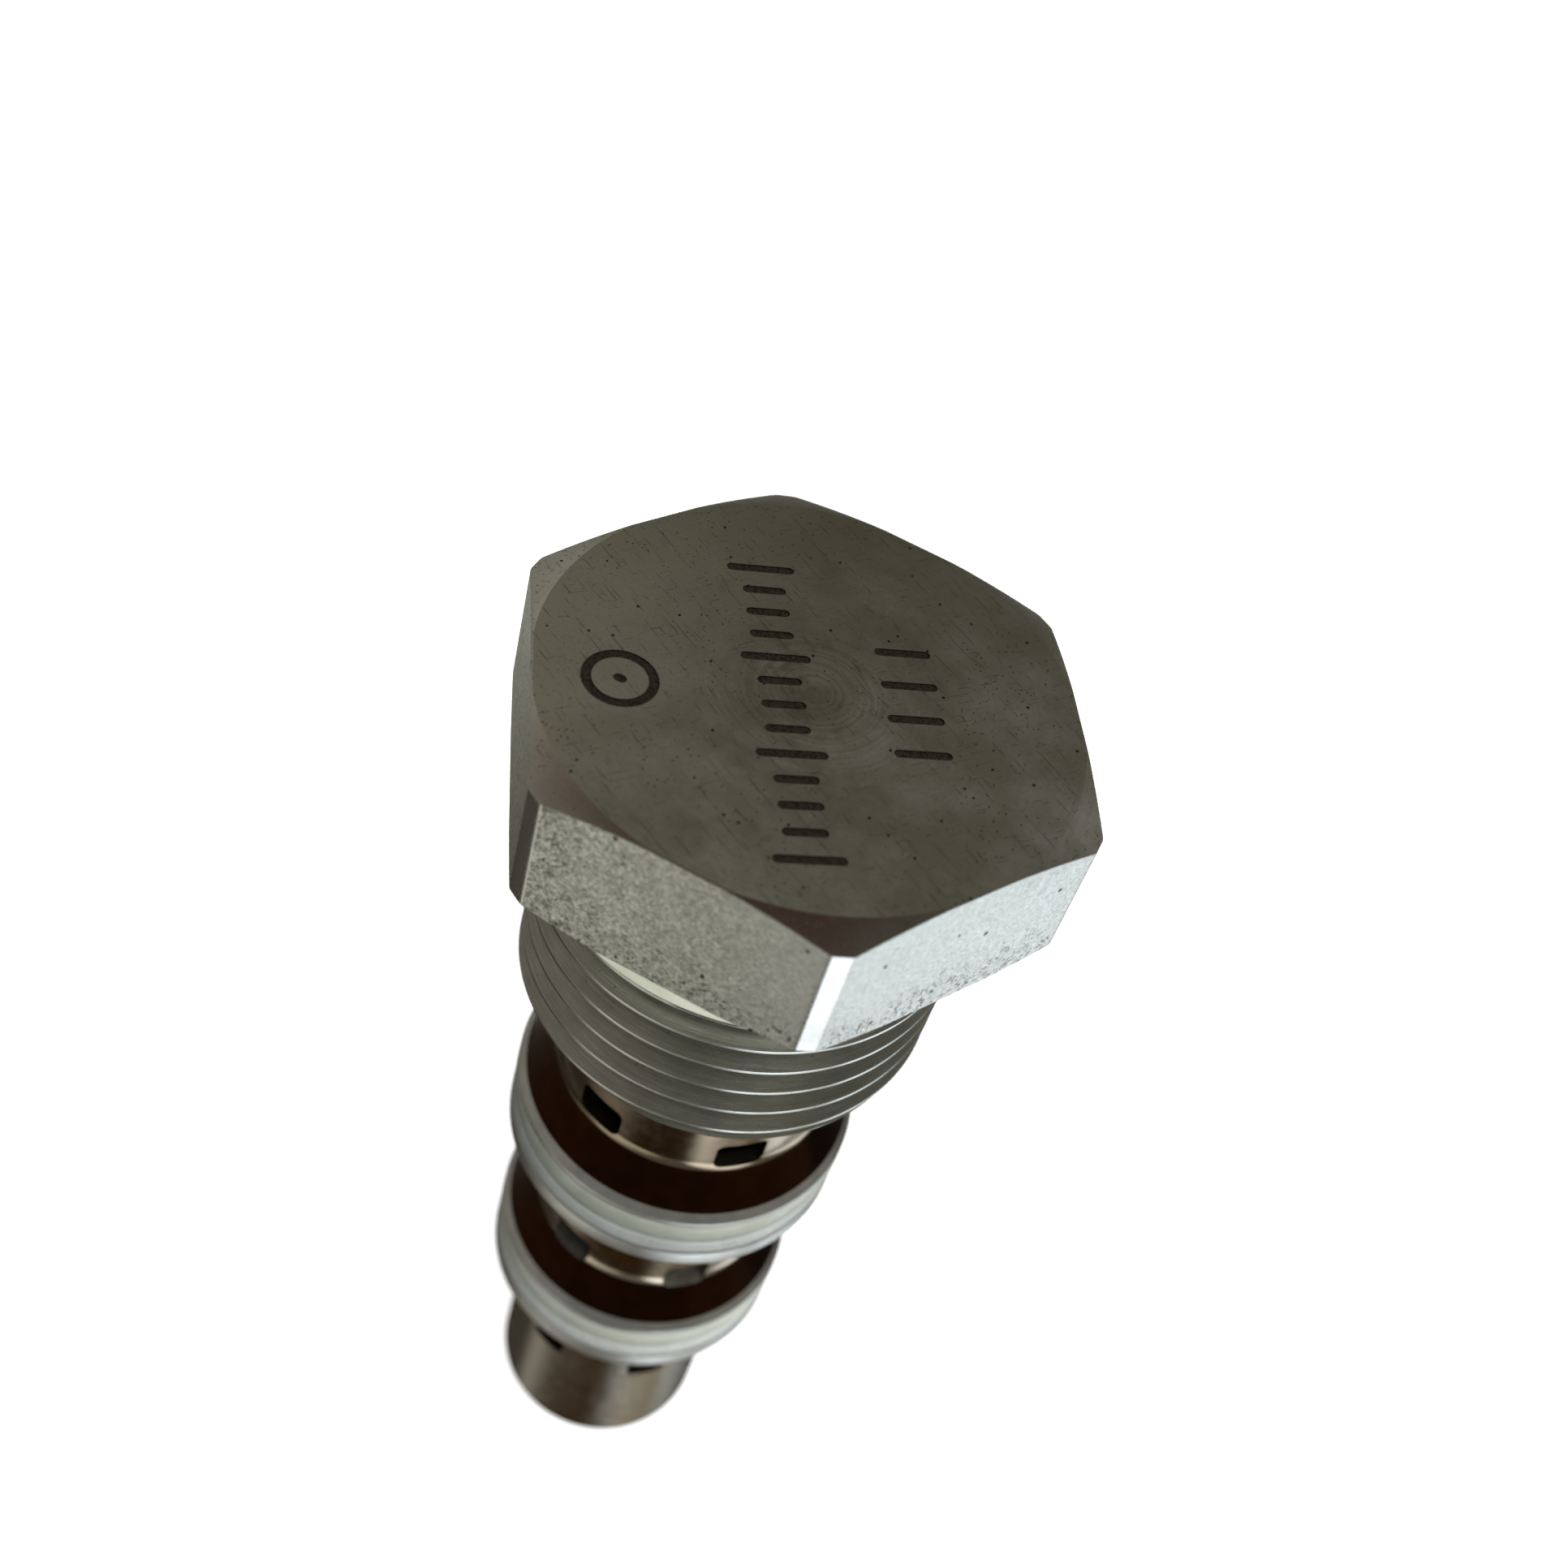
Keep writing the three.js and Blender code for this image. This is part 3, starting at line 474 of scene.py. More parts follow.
def milled_finish(name, dark, light):
    """Walls of the cage's windows: short cutter lines on a dull face. The dark copy is nearly black, painted
    shade deep in the windows.
    """
    f = clouded(name, dark, light, 0.9)
    lines = f.noise(f.scaled(f.place, (3.0, 3.0, 14.0)), 1.0, 2.0, 0.6)
    f.coat(f.span(lines, 0.4, 0.7, 0.0, 0.35), dark)
    return f.close(0.4, 0.4, f.bumps((lines, 0.004)), Specular_IOR_Level=0.2)


def seal_finish(name, dark, light, rough, glow=0.0):
    """Moulded seal with a faint flow pattern and oil. glow is painted light: emission that brightens a seal
    lying in shade.
    """
    f = clouded(name, dark, light, 0.5)
    flow = f.turning(2.4, 1.5, 2.0)
    grain = f.clouds(7.0, 2.0, 0.6)
    oil = f.clouds(1.1, 2.0, 0.5)
    f.coat(f.span(flow, 0.45, 0.75, 0.0, 0.18), tuple(0.8 * c for c in dark))
    roughness = f.span(oil, 0.4, 0.65, rough, rough - 0.12)
    normal = f.bumps((flow, 0.006), (grain, 0.003))
    passed_on = {"Emission_Color": f.colour, "Emission_Strength": glow}
    return f.close(roughness, 0.0, normal, Specular_IOR_Level=0.55, **passed_on)


HEX_TOP = hex_top_finish()
HEX_FLAT = hex_flat_finish()
THREAD = thread_finish()
MARK = mark_finish()
CAGE = cage_finish()
PLATED = ground_finish("plated_steel", (0.5, 0.49, 0.46), (0.64, 0.63, 0.6), 0.3)
HONED = ground_finish("honed_steel", (0.62, 0.6, 0.57), (0.74, 0.72, 0.69), 0.16, 26.0)
CORNER = ground_finish("corner_steel", (0.7, 0.7, 0.68), (0.84, 0.84, 0.83), 0.22, 9.0)
RING = ground_finish("ring_steel", (0.16, 0.16, 0.17), (0.28, 0.28, 0.29), 0.36, 9.0)
WIRE = ground_finish("spring_steel", (0.3, 0.31, 0.33), (0.46, 0.47, 0.49), 0.3, 7.0)
BRASS = ground_finish("orifice_brass", (0.62, 0.43, 0.16), (0.76, 0.58, 0.26), 0.26)
PALE = seal_finish("pale_seal", (0.66, 0.69, 0.6), (0.78, 0.8, 0.71), 0.42)
# painted light: a lighter, glowing copy of the pale seal for the face seal, which lies in shade under the
# hex
FACE_SEAL_PAINTED_LIGHT = seal_finish("face_seal_painted_light", (0.72, 0.74, 0.58), (0.86, 0.87, 0.74), 0.42, 0.4)
# painted shade: darker copies of the pale seal and the backup ring for the upper land, under the hex
UPPER_SEAL_PAINTED_SHADE = seal_finish("upper_seal_painted_shade", (0.5, 0.53, 0.45), (0.62, 0.65, 0.57), 0.42)
UPPER_BACKUP_PAINTED_SHADE = seal_finish("upper_backup_painted_shade", (0.56, 0.59, 0.57), (0.66, 0.69, 0.67), 0.38)
# painted reflection: the cones are painted nearly black brown, the dark hex underside mirrored in them
CONE_PAINTED_REFLECTION = ground_finish("cone_painted_reflection", (0.036, 0.0125, 0.0042), (0.056, 0.020, 0.007), 0.14, 14.0)
LAND = ground_finish("land_steel", (0.62, 0.62, 0.61), (0.8, 0.8, 0.79), 0.34, 12.0)
CREST = ground_finish("crest_steel", (0.56, 0.56, 0.53), (0.74, 0.74, 0.72), 0.24, 9.0)
# the dark walls are nearly black: painted shade inside the windows
WALLS = {
    "dark": milled_finish("milled_painted_shade", (0.010, 0.008, 0.006), (0.022, 0.018, 0.014)),
    "pale": milled_finish("milled_pale", (0.13, 0.115, 0.095), (0.24, 0.22, 0.19)),
}
BACKUP = seal_finish("backup_plastic", (0.74, 0.77, 0.74), (0.84, 0.86, 0.84), 0.38)
RUBBER = seal_finish("dark_rubber", (0.014, 0.014, 0.015), (0.028, 0.028, 0.03), 0.55)

# -------- mesh helpers


def rounded(corners):
    """A closed outline through (r, z, fillet) corners, each turned into an arc of that radius."""
    points = []
    for i, (r, z, fillet) in enumerate(corners):
        here = np.array([r, z])
        before = np.array(corners[i - 1][:2]) - here
        after = np.array(corners[(i + 1) % len(corners)][:2]) - here
        size_before, size_after = np.linalg.norm(before), np.linalg.norm(after)
        if min(size_before, size_after) < MERGE:
            points.extend([here] * (ARC_STEPS + 1))
            continue
        before, after = before / size_before, after / size_after
        half = math.acos(float(np.clip(before @ after, -1, 1))) / 2
        swing = math.pi - 2 * half
        if swing < STRAIGHT or fillet == 0:
            points.extend([here] * (ARC_STEPS + 1))
            continue
        tangent = min(fillet / math.tan(half), MOST_OF_SIDE * min(size_before, size_after))
        radius = tangent * math.tan(half)
        middle = (before + after) / np.linalg.norm(before + after)
        centre = here + middle * radius / math.sin(half)
        first, last = here + before * tangent - centre, here + after * tangent - centre
        for k in range(ARC_STEPS + 1):
            share = k / ARC_STEPS
            a, b = math.sin((1 - share) * swing), math.sin(share * swing)
            points.append(centre + (a * first + b * last) / math.sin(swing))
    return np.array(points)


def placed(name, data):
    """A new object in the scene, for a mesh, a light, a camera or an empty."""
    thing = bpy.data.objects.new(name, data)
    bpy.context.scene.collection.objects.link(thing)
    return thing


def mesh_piece(name, points, faces, material):
    """A closed mesh object, NAME_fine, from points in millimetres."""
    name += "_fine"
    mesh = bpy.data.meshes.new(name)
    mesh.from_pydata((np.asarray(points) + np.array([0, 0, SEAT_HEIGHT])) * MM, [], faces)
    mesh.materials.append(material)
    work = bmesh.new()
    work.from_mesh(mesh)
    bmesh.ops.remove_doubles(work, verts=work.verts, dist=MERGE * MM)
    bmesh.ops.recalc_face_normals(work, faces=work.faces)
    work.to_mesh(mesh)
    work.free()
    return placed(name, mesh)


def wrap_faces(rows, columns, closed_rows, closed_columns):
    """Quads over a grid of rows x columns points, with either direction closed on itself."""
    faces = []
    for i in range(rows if closed_rows else rows - 1):
        here, above = i * columns, (i + 1) % rows * columns
        for j in range(columns if closed_columns else columns - 1):
            beside = (j + 1) % columns
            faces.append((here + j, here + beside, above + beside, above + j))
    return faces


def turned(name, corners, material, gap=0.0, middle=0.0, segments=SEGMENTS):
    """A solid turned about Z from a closed outline. A gap in radians, centred on middle, splits it."""
    outline = rounded(corners)
    full = gap == 0
    columns = segments if full else segments + 1
    angles = middle + gap / 2 + (TURN - gap) * np.arange(columns) / segments
    r, z = outline[:, 0][:, None], outline[:, 1][:, None]
    points = np.stack([r * np.cos(angles), r * np.sin(angles), z + 0 * angles], axis=2)
    rows = len(outline)
    faces = wrap_faces(rows, columns, True, full)
    if not full:
        faces.append([i * columns for i in range(rows)])
        faces.append([i * columns + columns - 1 for i in reversed(range(rows))])
    return mesh_piece(name, points.reshape(-1, 3), faces, material)


def prism(outline, low, high):
    """Points and faces of an upright prism on an outline of (x, y) corners."""
    count = len(outline)
    points = [(x, y, z) for z in (low, high) for x, y in outline]
    faces = wrap_faces(2, count, False, True)
    faces += [tuple(reversed(range(count))), tuple(range(count, 2 * count))]
    return np.array(points), faces


def combine(piece, solids, material, operation="DIFFERENCE"):
    """Cuts (points, faces) solids out of a piece, or joins them to it. Cut faces take the material."""
    points, faces, start = [], [], 0
    for solid_points, solid_faces in solids:
        points.append(solid_points)
        faces += [tuple(start + i for i in face) for face in solid_faces]
        start += len(solid_points)
    other = mesh_piece("cutter", np.concatenate(points), faces, material)
    modifier = piece.modifiers.new("cut", "BOOLEAN")
    modifier.operation = operation
    modifier.solver = "EXACT"
    modifier.material_mode = "TRANSFER"
    modifier.object = other
    graph = bpy.context.evaluated_depsgraph_get()
    mesh = bpy.data.meshes.new_from_object(piece.evaluated_get(graph))
    piece.modifiers.clear()
    piece.data = mesh
    bpy.data.objects.remove(other)


def circle(radius, sides, centre=(0.0, 0.0)):
    """Points of a circle, one row each."""
    angles = TURN * np.arange(sides) / sides
    return np.stack([radius * np.cos(angles) + centre[0], radius * np.sin(angles) + centre[1]], axis=1)


def drum(radius, low, high, centre=(0.0, 0.0), sides=48):
    """Points and faces of an upright cylinder."""
    return prism(circle(radius, sides, centre), low, high)


def groove(face_r, floor_r, start, end, edge, root):
    """Corners of a square groove between two heights, in the order in which an outline meets them."""
    return [(face_r, start, edge), (floor_r, start, root), (floor_r, end, root), (face_r, end, edge)]


def ring_groove(node, face_r, floor_r, edge, root, upwards=True):
    """The same round a CAD ring, with a little play. upwards says which way the outline runs."""
    low, high = heights(node)
    start, end = low - GROOVE_PLAY, high + GROOVE_PLAY
    return groove(face_r, floor_r, *((start, end) if upwards else (end, start)), edge, root)


def paint(piece, material, chosen):
    """Gives another material to each face whose (radius, height, normal) is chosen."""
    mesh = piece.data
    mesh.materials.append(material)
    for polygon in mesh.polygons:
        radius = polygon.center.xy.length / MM
        height = polygon.center.z / MM - SEAT_HEIGHT
        if chosen(radius, height, polygon.normal):
            polygon.material_index = len(mesh.materials) - 1


def finish_piece(piece, node, body):
    """Smooth shading with crisp edges. Then the piece stands for its CAD node, on one body or none."""
    piece.data.shade_smooth()
    piece.data.set_sharp_from_angle(angle=SHARP_ANGLE)
    piece.modifiers.new("weighted_normals", "WEIGHTED_NORMAL").keep_sharp = True
    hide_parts(node)
    if body:
        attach(piece, body)
    return piece


# -------- hex plug


def hex_side(angle):
    """Distance from the axis to the side of the hex: flats that end at the turned corners."""
    from_flat = angle % (TURN / 6) - TURN / 12
    flat = HEX_FLAT_R / math.cos(from_flat)
    softness = 0.03
    gap = abs(flat - HEX_CORNER_R) / softness
    return min(flat, HEX_CORNER_R) - softness * math.log1p(math.exp(-gap))


def head_outline(angle):
    """The plug from the middle of its top face down to the start of the thread, at one azimuth."""
    side = hex_side(angle)
    top_r = min(HEX_TOP_FACE_R, side - HEX_EDGE)
    seat_r = min(HEX_SEAT_FACE_R, side - HEX_EDGE)
    corners = [
        (0.0, HEX_TOP_Z, 0),
        (top_r, HEX_TOP_Z, 0.06),
        (side, HEX_TOP_Z - (side - top_r) * HEX_TOP_SLOPE, 0.07),
        (side, (side - seat_r) * HEX_SEAT_SLOPE, 0.1),
        (seat_r, 0.0, 0.1),
        (UNDERCUT_R, 0.0, 0.4),
        (UNDERCUT_R, THREAD_TOP_Z, 0.3),
        (THREAD_MINOR_R, THREAD_TOP_Z, 0),
        (0.0, THREAD_TOP_Z, 0),
    ]
    return rounded(corners)[ARC_STEPS:-2 * ARC_STEPS - 1]  # one point at each end, none on the way back


def socket_outline():
    """From the end of the thread in through the socket to the end of the spring bore."""
    corners = [
        (THREAD_END_R, THREAD_END_Z, 0),
        (SOCKET_R + 0.3, THREAD_END_Z, 0.05),
        (SOCKET_R, THREAD_END_Z + 0.3, 0.05),
        *ring_groove("cage_snap_ring", SOCKET_R, SNAP_GROOVE_R, 0.03, 0.1),
        (SOCKET_R, SOCKET_TOP_Z, 0.2),
        (PLUG_BORE_R, SOCKET_TOP_Z, 0.1),
        (PLUG_BORE_R, PLUG_BORE_TOP_Z, 0.3),
        (0.0, PLUG_BORE_TOP_Z, 0),
    ]
    return rounded(corners)[ARC_STEPS:-ARC_STEPS]  # one point at each end


def thread_profile():
    """Heights over one pitch and radii there: a crest, a flank, the root and the other flank."""
    crest = THREAD_CREST_FLAT / 2
    root = crest + THREAD_DEPTH * math.tan(math.radians(30))
    corners = [
        (THREAD_MAJOR_R, -crest, THREAD_ROUND),
        (THREAD_MAJOR_R, crest, THREAD_ROUND),
        (THREAD_MINOR_R, root, THREAD_ROUND * 2),
        (THREAD_MINOR_R, THREAD_PITCH - root, THREAD_ROUND * 2),
        (THREAD_MAJOR_R, THREAD_PITCH - crest, THREAD_ROUND),
        (THREAD_MAJOR_R, THREAD_PITCH + crest, THREAD_ROUND),
        (0.0, THREAD_PITCH / 2, 0),
    ]
    fine = rounded(corners)[:-ARC_STEPS - 1]  # without the last corner, which only closes the outline
    rises, radii = [], []
    for start, stop in zip(fine[:-1], fine[1:]):
        steps = max(1, round(abs(stop[1] - start[1]) / THREAD_STEP))
        for k in range(steps):
            radius, rise = start + (stop - start) * k / steps
            rises.append(rise)
            radii.append(radius)
    rises, radii = np.array(rises), np.array(radii)
    inside = (rises >= 0) & (rises < THREAD_PITCH)
    return rises[inside], radii[inside]


def thread_radius(z, angle, rises, radii):
    """Radius of the threaded shank at a height and azimuth, chamfered at both ends."""
    phase = (z - THREAD_CREST_Z - THREAD_PITCH * angle / TURN) % THREAD_PITCH
    radius = np.interp(phase, rises, radii, period=THREAD_PITCH)
    below_top = (THREAD_TOP_Z - z) / THREAD_TOP_CHAMFER
    above_end = (z - THREAD_END_Z) / THREAD_END_CHAMFER
    top_limit = THREAD_MINOR_R + THREAD_DEPTH * below_top
    end_limit = THREAD_END_R + (THREAD_MAJOR_R - THREAD_END_R) * above_end
    return np.minimum(radius, np.minimum(top_limit, end_limit))


def plug_solid():
    """The whole plug as one closed skin: head, helical thread rows, and the socket inside."""
    steps = np.arange(PLUG_COLUMNS) / PLUG_COLUMNS * TURN
    angles = steps - CORNER_CROWDING * np.sin(6 * steps) / 6
    heads = np.array([head_outline(a) for a in angles]).transpose(1, 0, 2)
    rises, radii = thread_profile()
    per_pitch = len(rises)
    first = math.floor((THREAD_END_Z - THREAD_CREST_Z) / THREAD_PITCH) - 2
    last = math.ceil((THREAD_TOP_Z - THREAD_CREST_Z) / THREAD_PITCH) + 1
    base = np.concatenate([rises + THREAD_PITCH * k for k in range(first, last)]) + THREAD_CREST_Z
    thread_z = base[:, None] + THREAD_PITCH * angles[None, :] / TURN
    thread_z = np.clip(thread_z, THREAD_END_Z, THREAD_TOP_Z)
    thread_r = thread_radius(thread_z, angles[None, :], rises, radii)
    inner = socket_outline()
    start, rows = len(heads) * PLUG_COLUMNS, len(base)

    def ring_points(r, z):
        return np.stack([r * np.cos(angles), r * np.sin(angles), z + 0 * angles], axis=-1).reshape(-1, 3)

    def corner(row, column):
        """Index of a thread point. Past the last column comes the first one, a pitch further on."""
        if column == PLUG_COLUMNS:
            row, column = min(row + per_pitch, rows - 1), 0
        return start + row * PLUG_COLUMNS + column

    faces = wrap_faces(len(heads), PLUG_COLUMNS, False, True)
    for k in range(rows - 1):
        for j in range(PLUG_COLUMNS):
            faces.append((corner(k, j), corner(k, j + 1), corner(k + 1, j + 1), corner(k + 1, j)))
    inner_start = start + rows * PLUG_COLUMNS
    for face in wrap_faces(len(inner), PLUG_COLUMNS, False, True):
        faces.append(tuple(inner_start + i for i in face))
    return np.concatenate([
        ring_points(heads[:, :, 0], heads[:, :, 1]),
        ring_points(thread_r, thread_z),
        ring_points(thread_radius(THREAD_END_Z, angles, rises, radii), THREAD_END_Z),
        ring_points(inner[1:, :1], inner[1:, 1:]),
    ]), faces


def stroke(x0, y0, x1, y1):
    """A round-ended stroke between two points of the top face, ready to be cut."""
    along = math.atan2(y1 - y0, x1 - x0)
    outline = []
    for x, y, start in ((x1, y1, along - TURN / 4), (x0, y0, along + TURN / 4)):
        for k in range(ROUND_STEPS + 1):
            angle = start + TURN / 2 * k / ROUND_STEPS
            outline.append((x + MARK_WIDTH / 2 * math.cos(angle), y + MARK_WIDTH / 2 * math.sin(angle)))
    return prism(outline, HEX_TOP_Z - MARK_DEPTH, HEX_TOP_Z + CUT_PAST)


def ring_stroke(x, y, radius, sides=40):
    """A ring-shaped stroke, ready to be cut."""
    low, high = HEX_TOP_Z - MARK_DEPTH, HEX_TOP_Z + CUT_PAST
    half = MARK_WIDTH / 2
    section = ((radius - half, low), (radius + half, low), (radius + half, high), (radius - half, high))
    points = [(*point, z) for r, z in section for point in circle(r, sides, (x, y))]
    return np.array(points), wrap_faces(4, sides, True, True)


def mark_cutters():
    """Plain index marks: a ring with a dot, a graduated row of ticks and a short row of four."""
    dot_x, dot_y, ring_r, half_dot = -9.3, -5.9, 1.9, 0.1
    solids = [ring_stroke(dot_x, dot_y, ring_r), stroke(dot_x - half_dot, dot_y, dot_x + half_dot, dot_y)]
    long_row = (Vector((5.0, -11.4)), Vector((-7.0, 7.4)), (1.75, 1.0, 1.0, 1.0), 13)
    short_row = (Vector((7.1, -0.6)), Vector((2.9, 6.2)), (1.4,), 4)
    along = (long_row[1] - long_row[0]).normalized()
    across = Vector((-along.y, along.x))
    for first, last, half_lengths, ticks in (long_row, short_row):
        for i in range(ticks):
            centre = first.lerp(last, i / (ticks - 1))
            half = across * half_lengths[i % len(half_lengths)]
            solids.append(stroke(*(centre - half), *(centre + half)))
    return solids


def make_plug():
    points, faces = plug_solid()
    plug = mesh_piece("hex_plug", points, faces, HEX_TOP)
    combine(plug, mark_cutters(), MARK)
    paint(plug, THREAD, lambda r, z, normal: z < SHANK_TOP)
    paint(plug, CREST, lambda r, z, normal: z < THREAD_TOP_Z and r > THREAD_MAJOR_R - CREST_FACE)
    paint(plug, HEX_FLAT, lambda r, z, normal: z >= SHANK_TOP and r > INSIDE_FLATS_R and normal.z < LEVEL)
    paint(plug, CORNER, lambda r, z, normal: r > HEX_CORNER_R - CORNER_FACE)
    finish_piece(plug, "hex_plug", "body")


# -------- cage


def land_size(name):
    """Radius and top height of a land, from the two rings in its gland."""
    return outer_r(f"{name}_backup_ring") + BACKUP_SINK, heights(f"{name}_o_ring")[1] + TOUCH + GLAND_DROP


def land_corners(name, neck_r):
    """One land from its bottom edge up to the neck above it."""
    land_r, land_top = land_size(name)
    gland_top, land_end = land_top - GLAND_DROP, land_top - LAND_HEIGHT
    gland_end, gland_r = gland_top - GLAND_WIDTH, land_r - GLAND_DEPTH
    cone_z = land_top + CONE_RIM
    neck_z = cone_z + (land_r - CONE_RIM - neck_r) / CONE_TAPER
    return land_end, [
        (land_r - 0.3, land_end, 0.12),
        (land_r, land_end + 0.3, 0.2),
        (land_r, gland_end, 0.08),
        (gland_r, gland_end, 0.2),
        (gland_r, gland_top, 0.2),
        (land_r, gland_top, 0.05),
        (land_r, land_top, 0.2),
        (land_r - CONE_RIM, cone_z, 0.2),
        (neck_r, neck_z, NECK_FILLET),
    ]


def cage_corners():
    _, nose_end, cage_top = reach("cage")
    plug_seat = heights("lower_spring_shim")[0]
    lower_end, lower_land = land_corners("lower_land", LOWER_NECK_R)
    upper_end, upper_land = land_corners("upper_land", UPPER_NECK_R)
    shoulder_z = THREAD_END_Z - TOUCH
    outside = [
        (NOSE_R - 0.45, nose_end, 0.12),
        (NOSE_R, nose_end + 0.7, 0.4),
        (NOSE_R, lower_end, 0.5),
        *lower_land,
        (LOWER_NECK_R, upper_end, 0.8),
        *upper_land,
        (UPPER_NECK_R, shoulder_z, 0.1),
        (CAGE_COLLAR_R, shoulder_z, 0.05),
        *ring_groove("cage_snap_ring", CAGE_COLLAR_R, SNAP_GROOVE_INNER_R, 0.04, 0.08),
        *groove(CAGE_COLLAR_R, COLLAR_GLAND_R, COLLAR_GLAND_END_Z, COLLAR_GLAND_TOP_Z, 0.06, 0.2),
        (CAGE_COLLAR_R, cage_top - 0.3, 0.1),
        (CAGE_COLLAR_R - 0.3, cage_top, 0.1),
    ]
    inside = [(CAGE_BORE_R + 0.3, cage_top, 0.05), (CAGE_BORE_R, cage_top - 0.3, 0.05)]
    for row in WINDOW_ROWS[:2]:
        half = row["height"] / 2 + RECESS_MARGIN
        inside += groove(CAGE_BORE_R, row["recess"], row["z"] + half, row["z"] - half, 0.1, 0.1)
    inside += [
        (CAGE_BORE_R, SPOOL_STOP_Z, 0.1),
        (NOSE_BORE_R, SPOOL_STOP_Z, 0.1),
        (NOSE_BORE_R, plug_seat, 0.1),
        (NOSE_COUNTERBORE_R, plug_seat, 0.1),
        *ring_groove("nose_snap_ring", NOSE_COUNTERBORE_R, NOSE_RING_GROOVE_R, 0.03, 0.08, upwards=False),
        (NOSE_COUNTERBORE_R, nose_end + 0.2, 0.05),
        (NOSE_COUNTERBORE_R + 0.2, nose_end, 0.05),
    ]
    return outside + inside


def window_cutter(row, azimuth):
    """A round-cornered prism along one azimuth, from inside the bore to outside the widest land."""
    half_w, half_h = row["width"] / 2 - WINDOW_CORNER_R, row["height"] / 2 - WINDOW_CORNER_R
    outline = []
    for k, (side_x, side_y) in enumerate(((1, 1), (-1, 1), (-1, -1), (1, -1))):
        for step in range(ROUND_STEPS + 1):
            angle = TURN / 4 * (k + step / ROUND_STEPS)
            x = side_x * half_w + WINDOW_CORNER_R * math.cos(angle)
            y = side_y * half_h + WINDOW_CORNER_R * math.sin(angle)
            outline.append((x, y))
    flat, faces = prism(outline, NOSE_BORE_R / 2, THREAD_MAJOR_R)
    aside, height, out = flat.T
    x = out * math.cos(azimuth) - aside * math.sin(azimuth)
    y = out * math.sin(azimuth) + aside * math.cos(azimuth)
    return np.stack([x, y, height + row["z"]], axis=1), faces


def make_cage():
    cage = turned("cage", cage_corners(), CAGE)
    for row in WINDOW_ROWS:
        azimuths = [WINDOW_AZIMUTH + TURN * i / WINDOWS_PER_ROW for i in range(WINDOWS_PER_ROW)]
        combine(cage, [window_cutter(row, a) for a in azimuths], WALLS[row["walls"]])
    for name in ("upper_land", "lower_land"):
        land_r, land_top = land_size(name)
        low, rim, high = land_top - LAND_HEIGHT, land_top - RIM_DEPTH, land_top + CONE_RIM
        cone_low, cone_high = high - RIM_DEPTH / 2, high + CONE_HEIGHT
        least, most = CONE_NORMAL
        paint(cage, LAND, lambda r, z, normal: low < z < high and r > land_r - LAND_FACE)
        paint(cage, LAND, lambda r, z, normal: rim < z < high and r > land_r - CONE_RIM)
        # painted reflection: cone faces, chosen by how steeply their normals rise, are painted nearly black
        paint(cage, CONE_PAINTED_REFLECTION, lambda r, z, normal: cone_low < z < cone_high and least < normal.z < most)
    finish_piece(cage, "cage", "body")


# -------- rings and seals


def make_o_ring(node, material, squeeze=0.0):
    """A round section; squeeze flattens it a little where it bears on its gland."""
    outer, low, high = reach(node)
    wire = (high - low) / 2
    middle_r, middle_z = outer - wire, (low + high) / 2
    corners = []
    for c, s in circle(1.0, sides=28):
        r = math.copysign(abs(c) ** (1 - squeeze), c)
        z = math.copysign(abs(s) ** (1 - squeeze), s)
        corners.append((middle_r + wire * r, middle_z + wire * z, 0))
    ring = turned(node, corners, material)
    finish_piece(ring, node, "body")


def flat_ring(node, inner, edge, material, **turning):
    """A flat ring with small broken edges, as wide and high as its CAD node."""
    outer, low, high = reach(node)
    corners = [(inner, low, edge), (outer, low, edge), (outer, high, edge), (inner, high, edge)]
    return turned(node, corners, material, **turning)


def make_split_ring(node, inner, gap_width, middle, edge, material):
    """A flat ring with one narrow gap."""
    ring = flat_ring(node, inner, edge, material, gap=gap_width / outer_r(node), middle=middle)
    finish_piece(ring, node, "body")


def make_nose_snap_ring():
    """Internal retaining ring: a split ring with a drilled lug at each side of its gap."""
    node = "nose_snap_ring"
    low, high = heights(node)
    inner, gap_width, lug_x, lug_y, lug_r, hole_r = 5.7, 4.0, 4.9, 2.85, 1.05, 0.5
    ring = flat_ring(node, inner, 0.05, RING, gap=gap_width / inner)
    for side in (-1, 1):
        lug = drum(lug_r, low, high, (lug_x, side * lug_y))
        combine(ring, [lug], RING, "UNION")
        hole = drum(hole_r, low - CUT_PAST, high + CUT_PAST, (lug_x, side * lug_y))
        combine(ring, [hole], RING)
    finish_piece(ring, node, "body")


# -------- spool, orifices, guides, springs


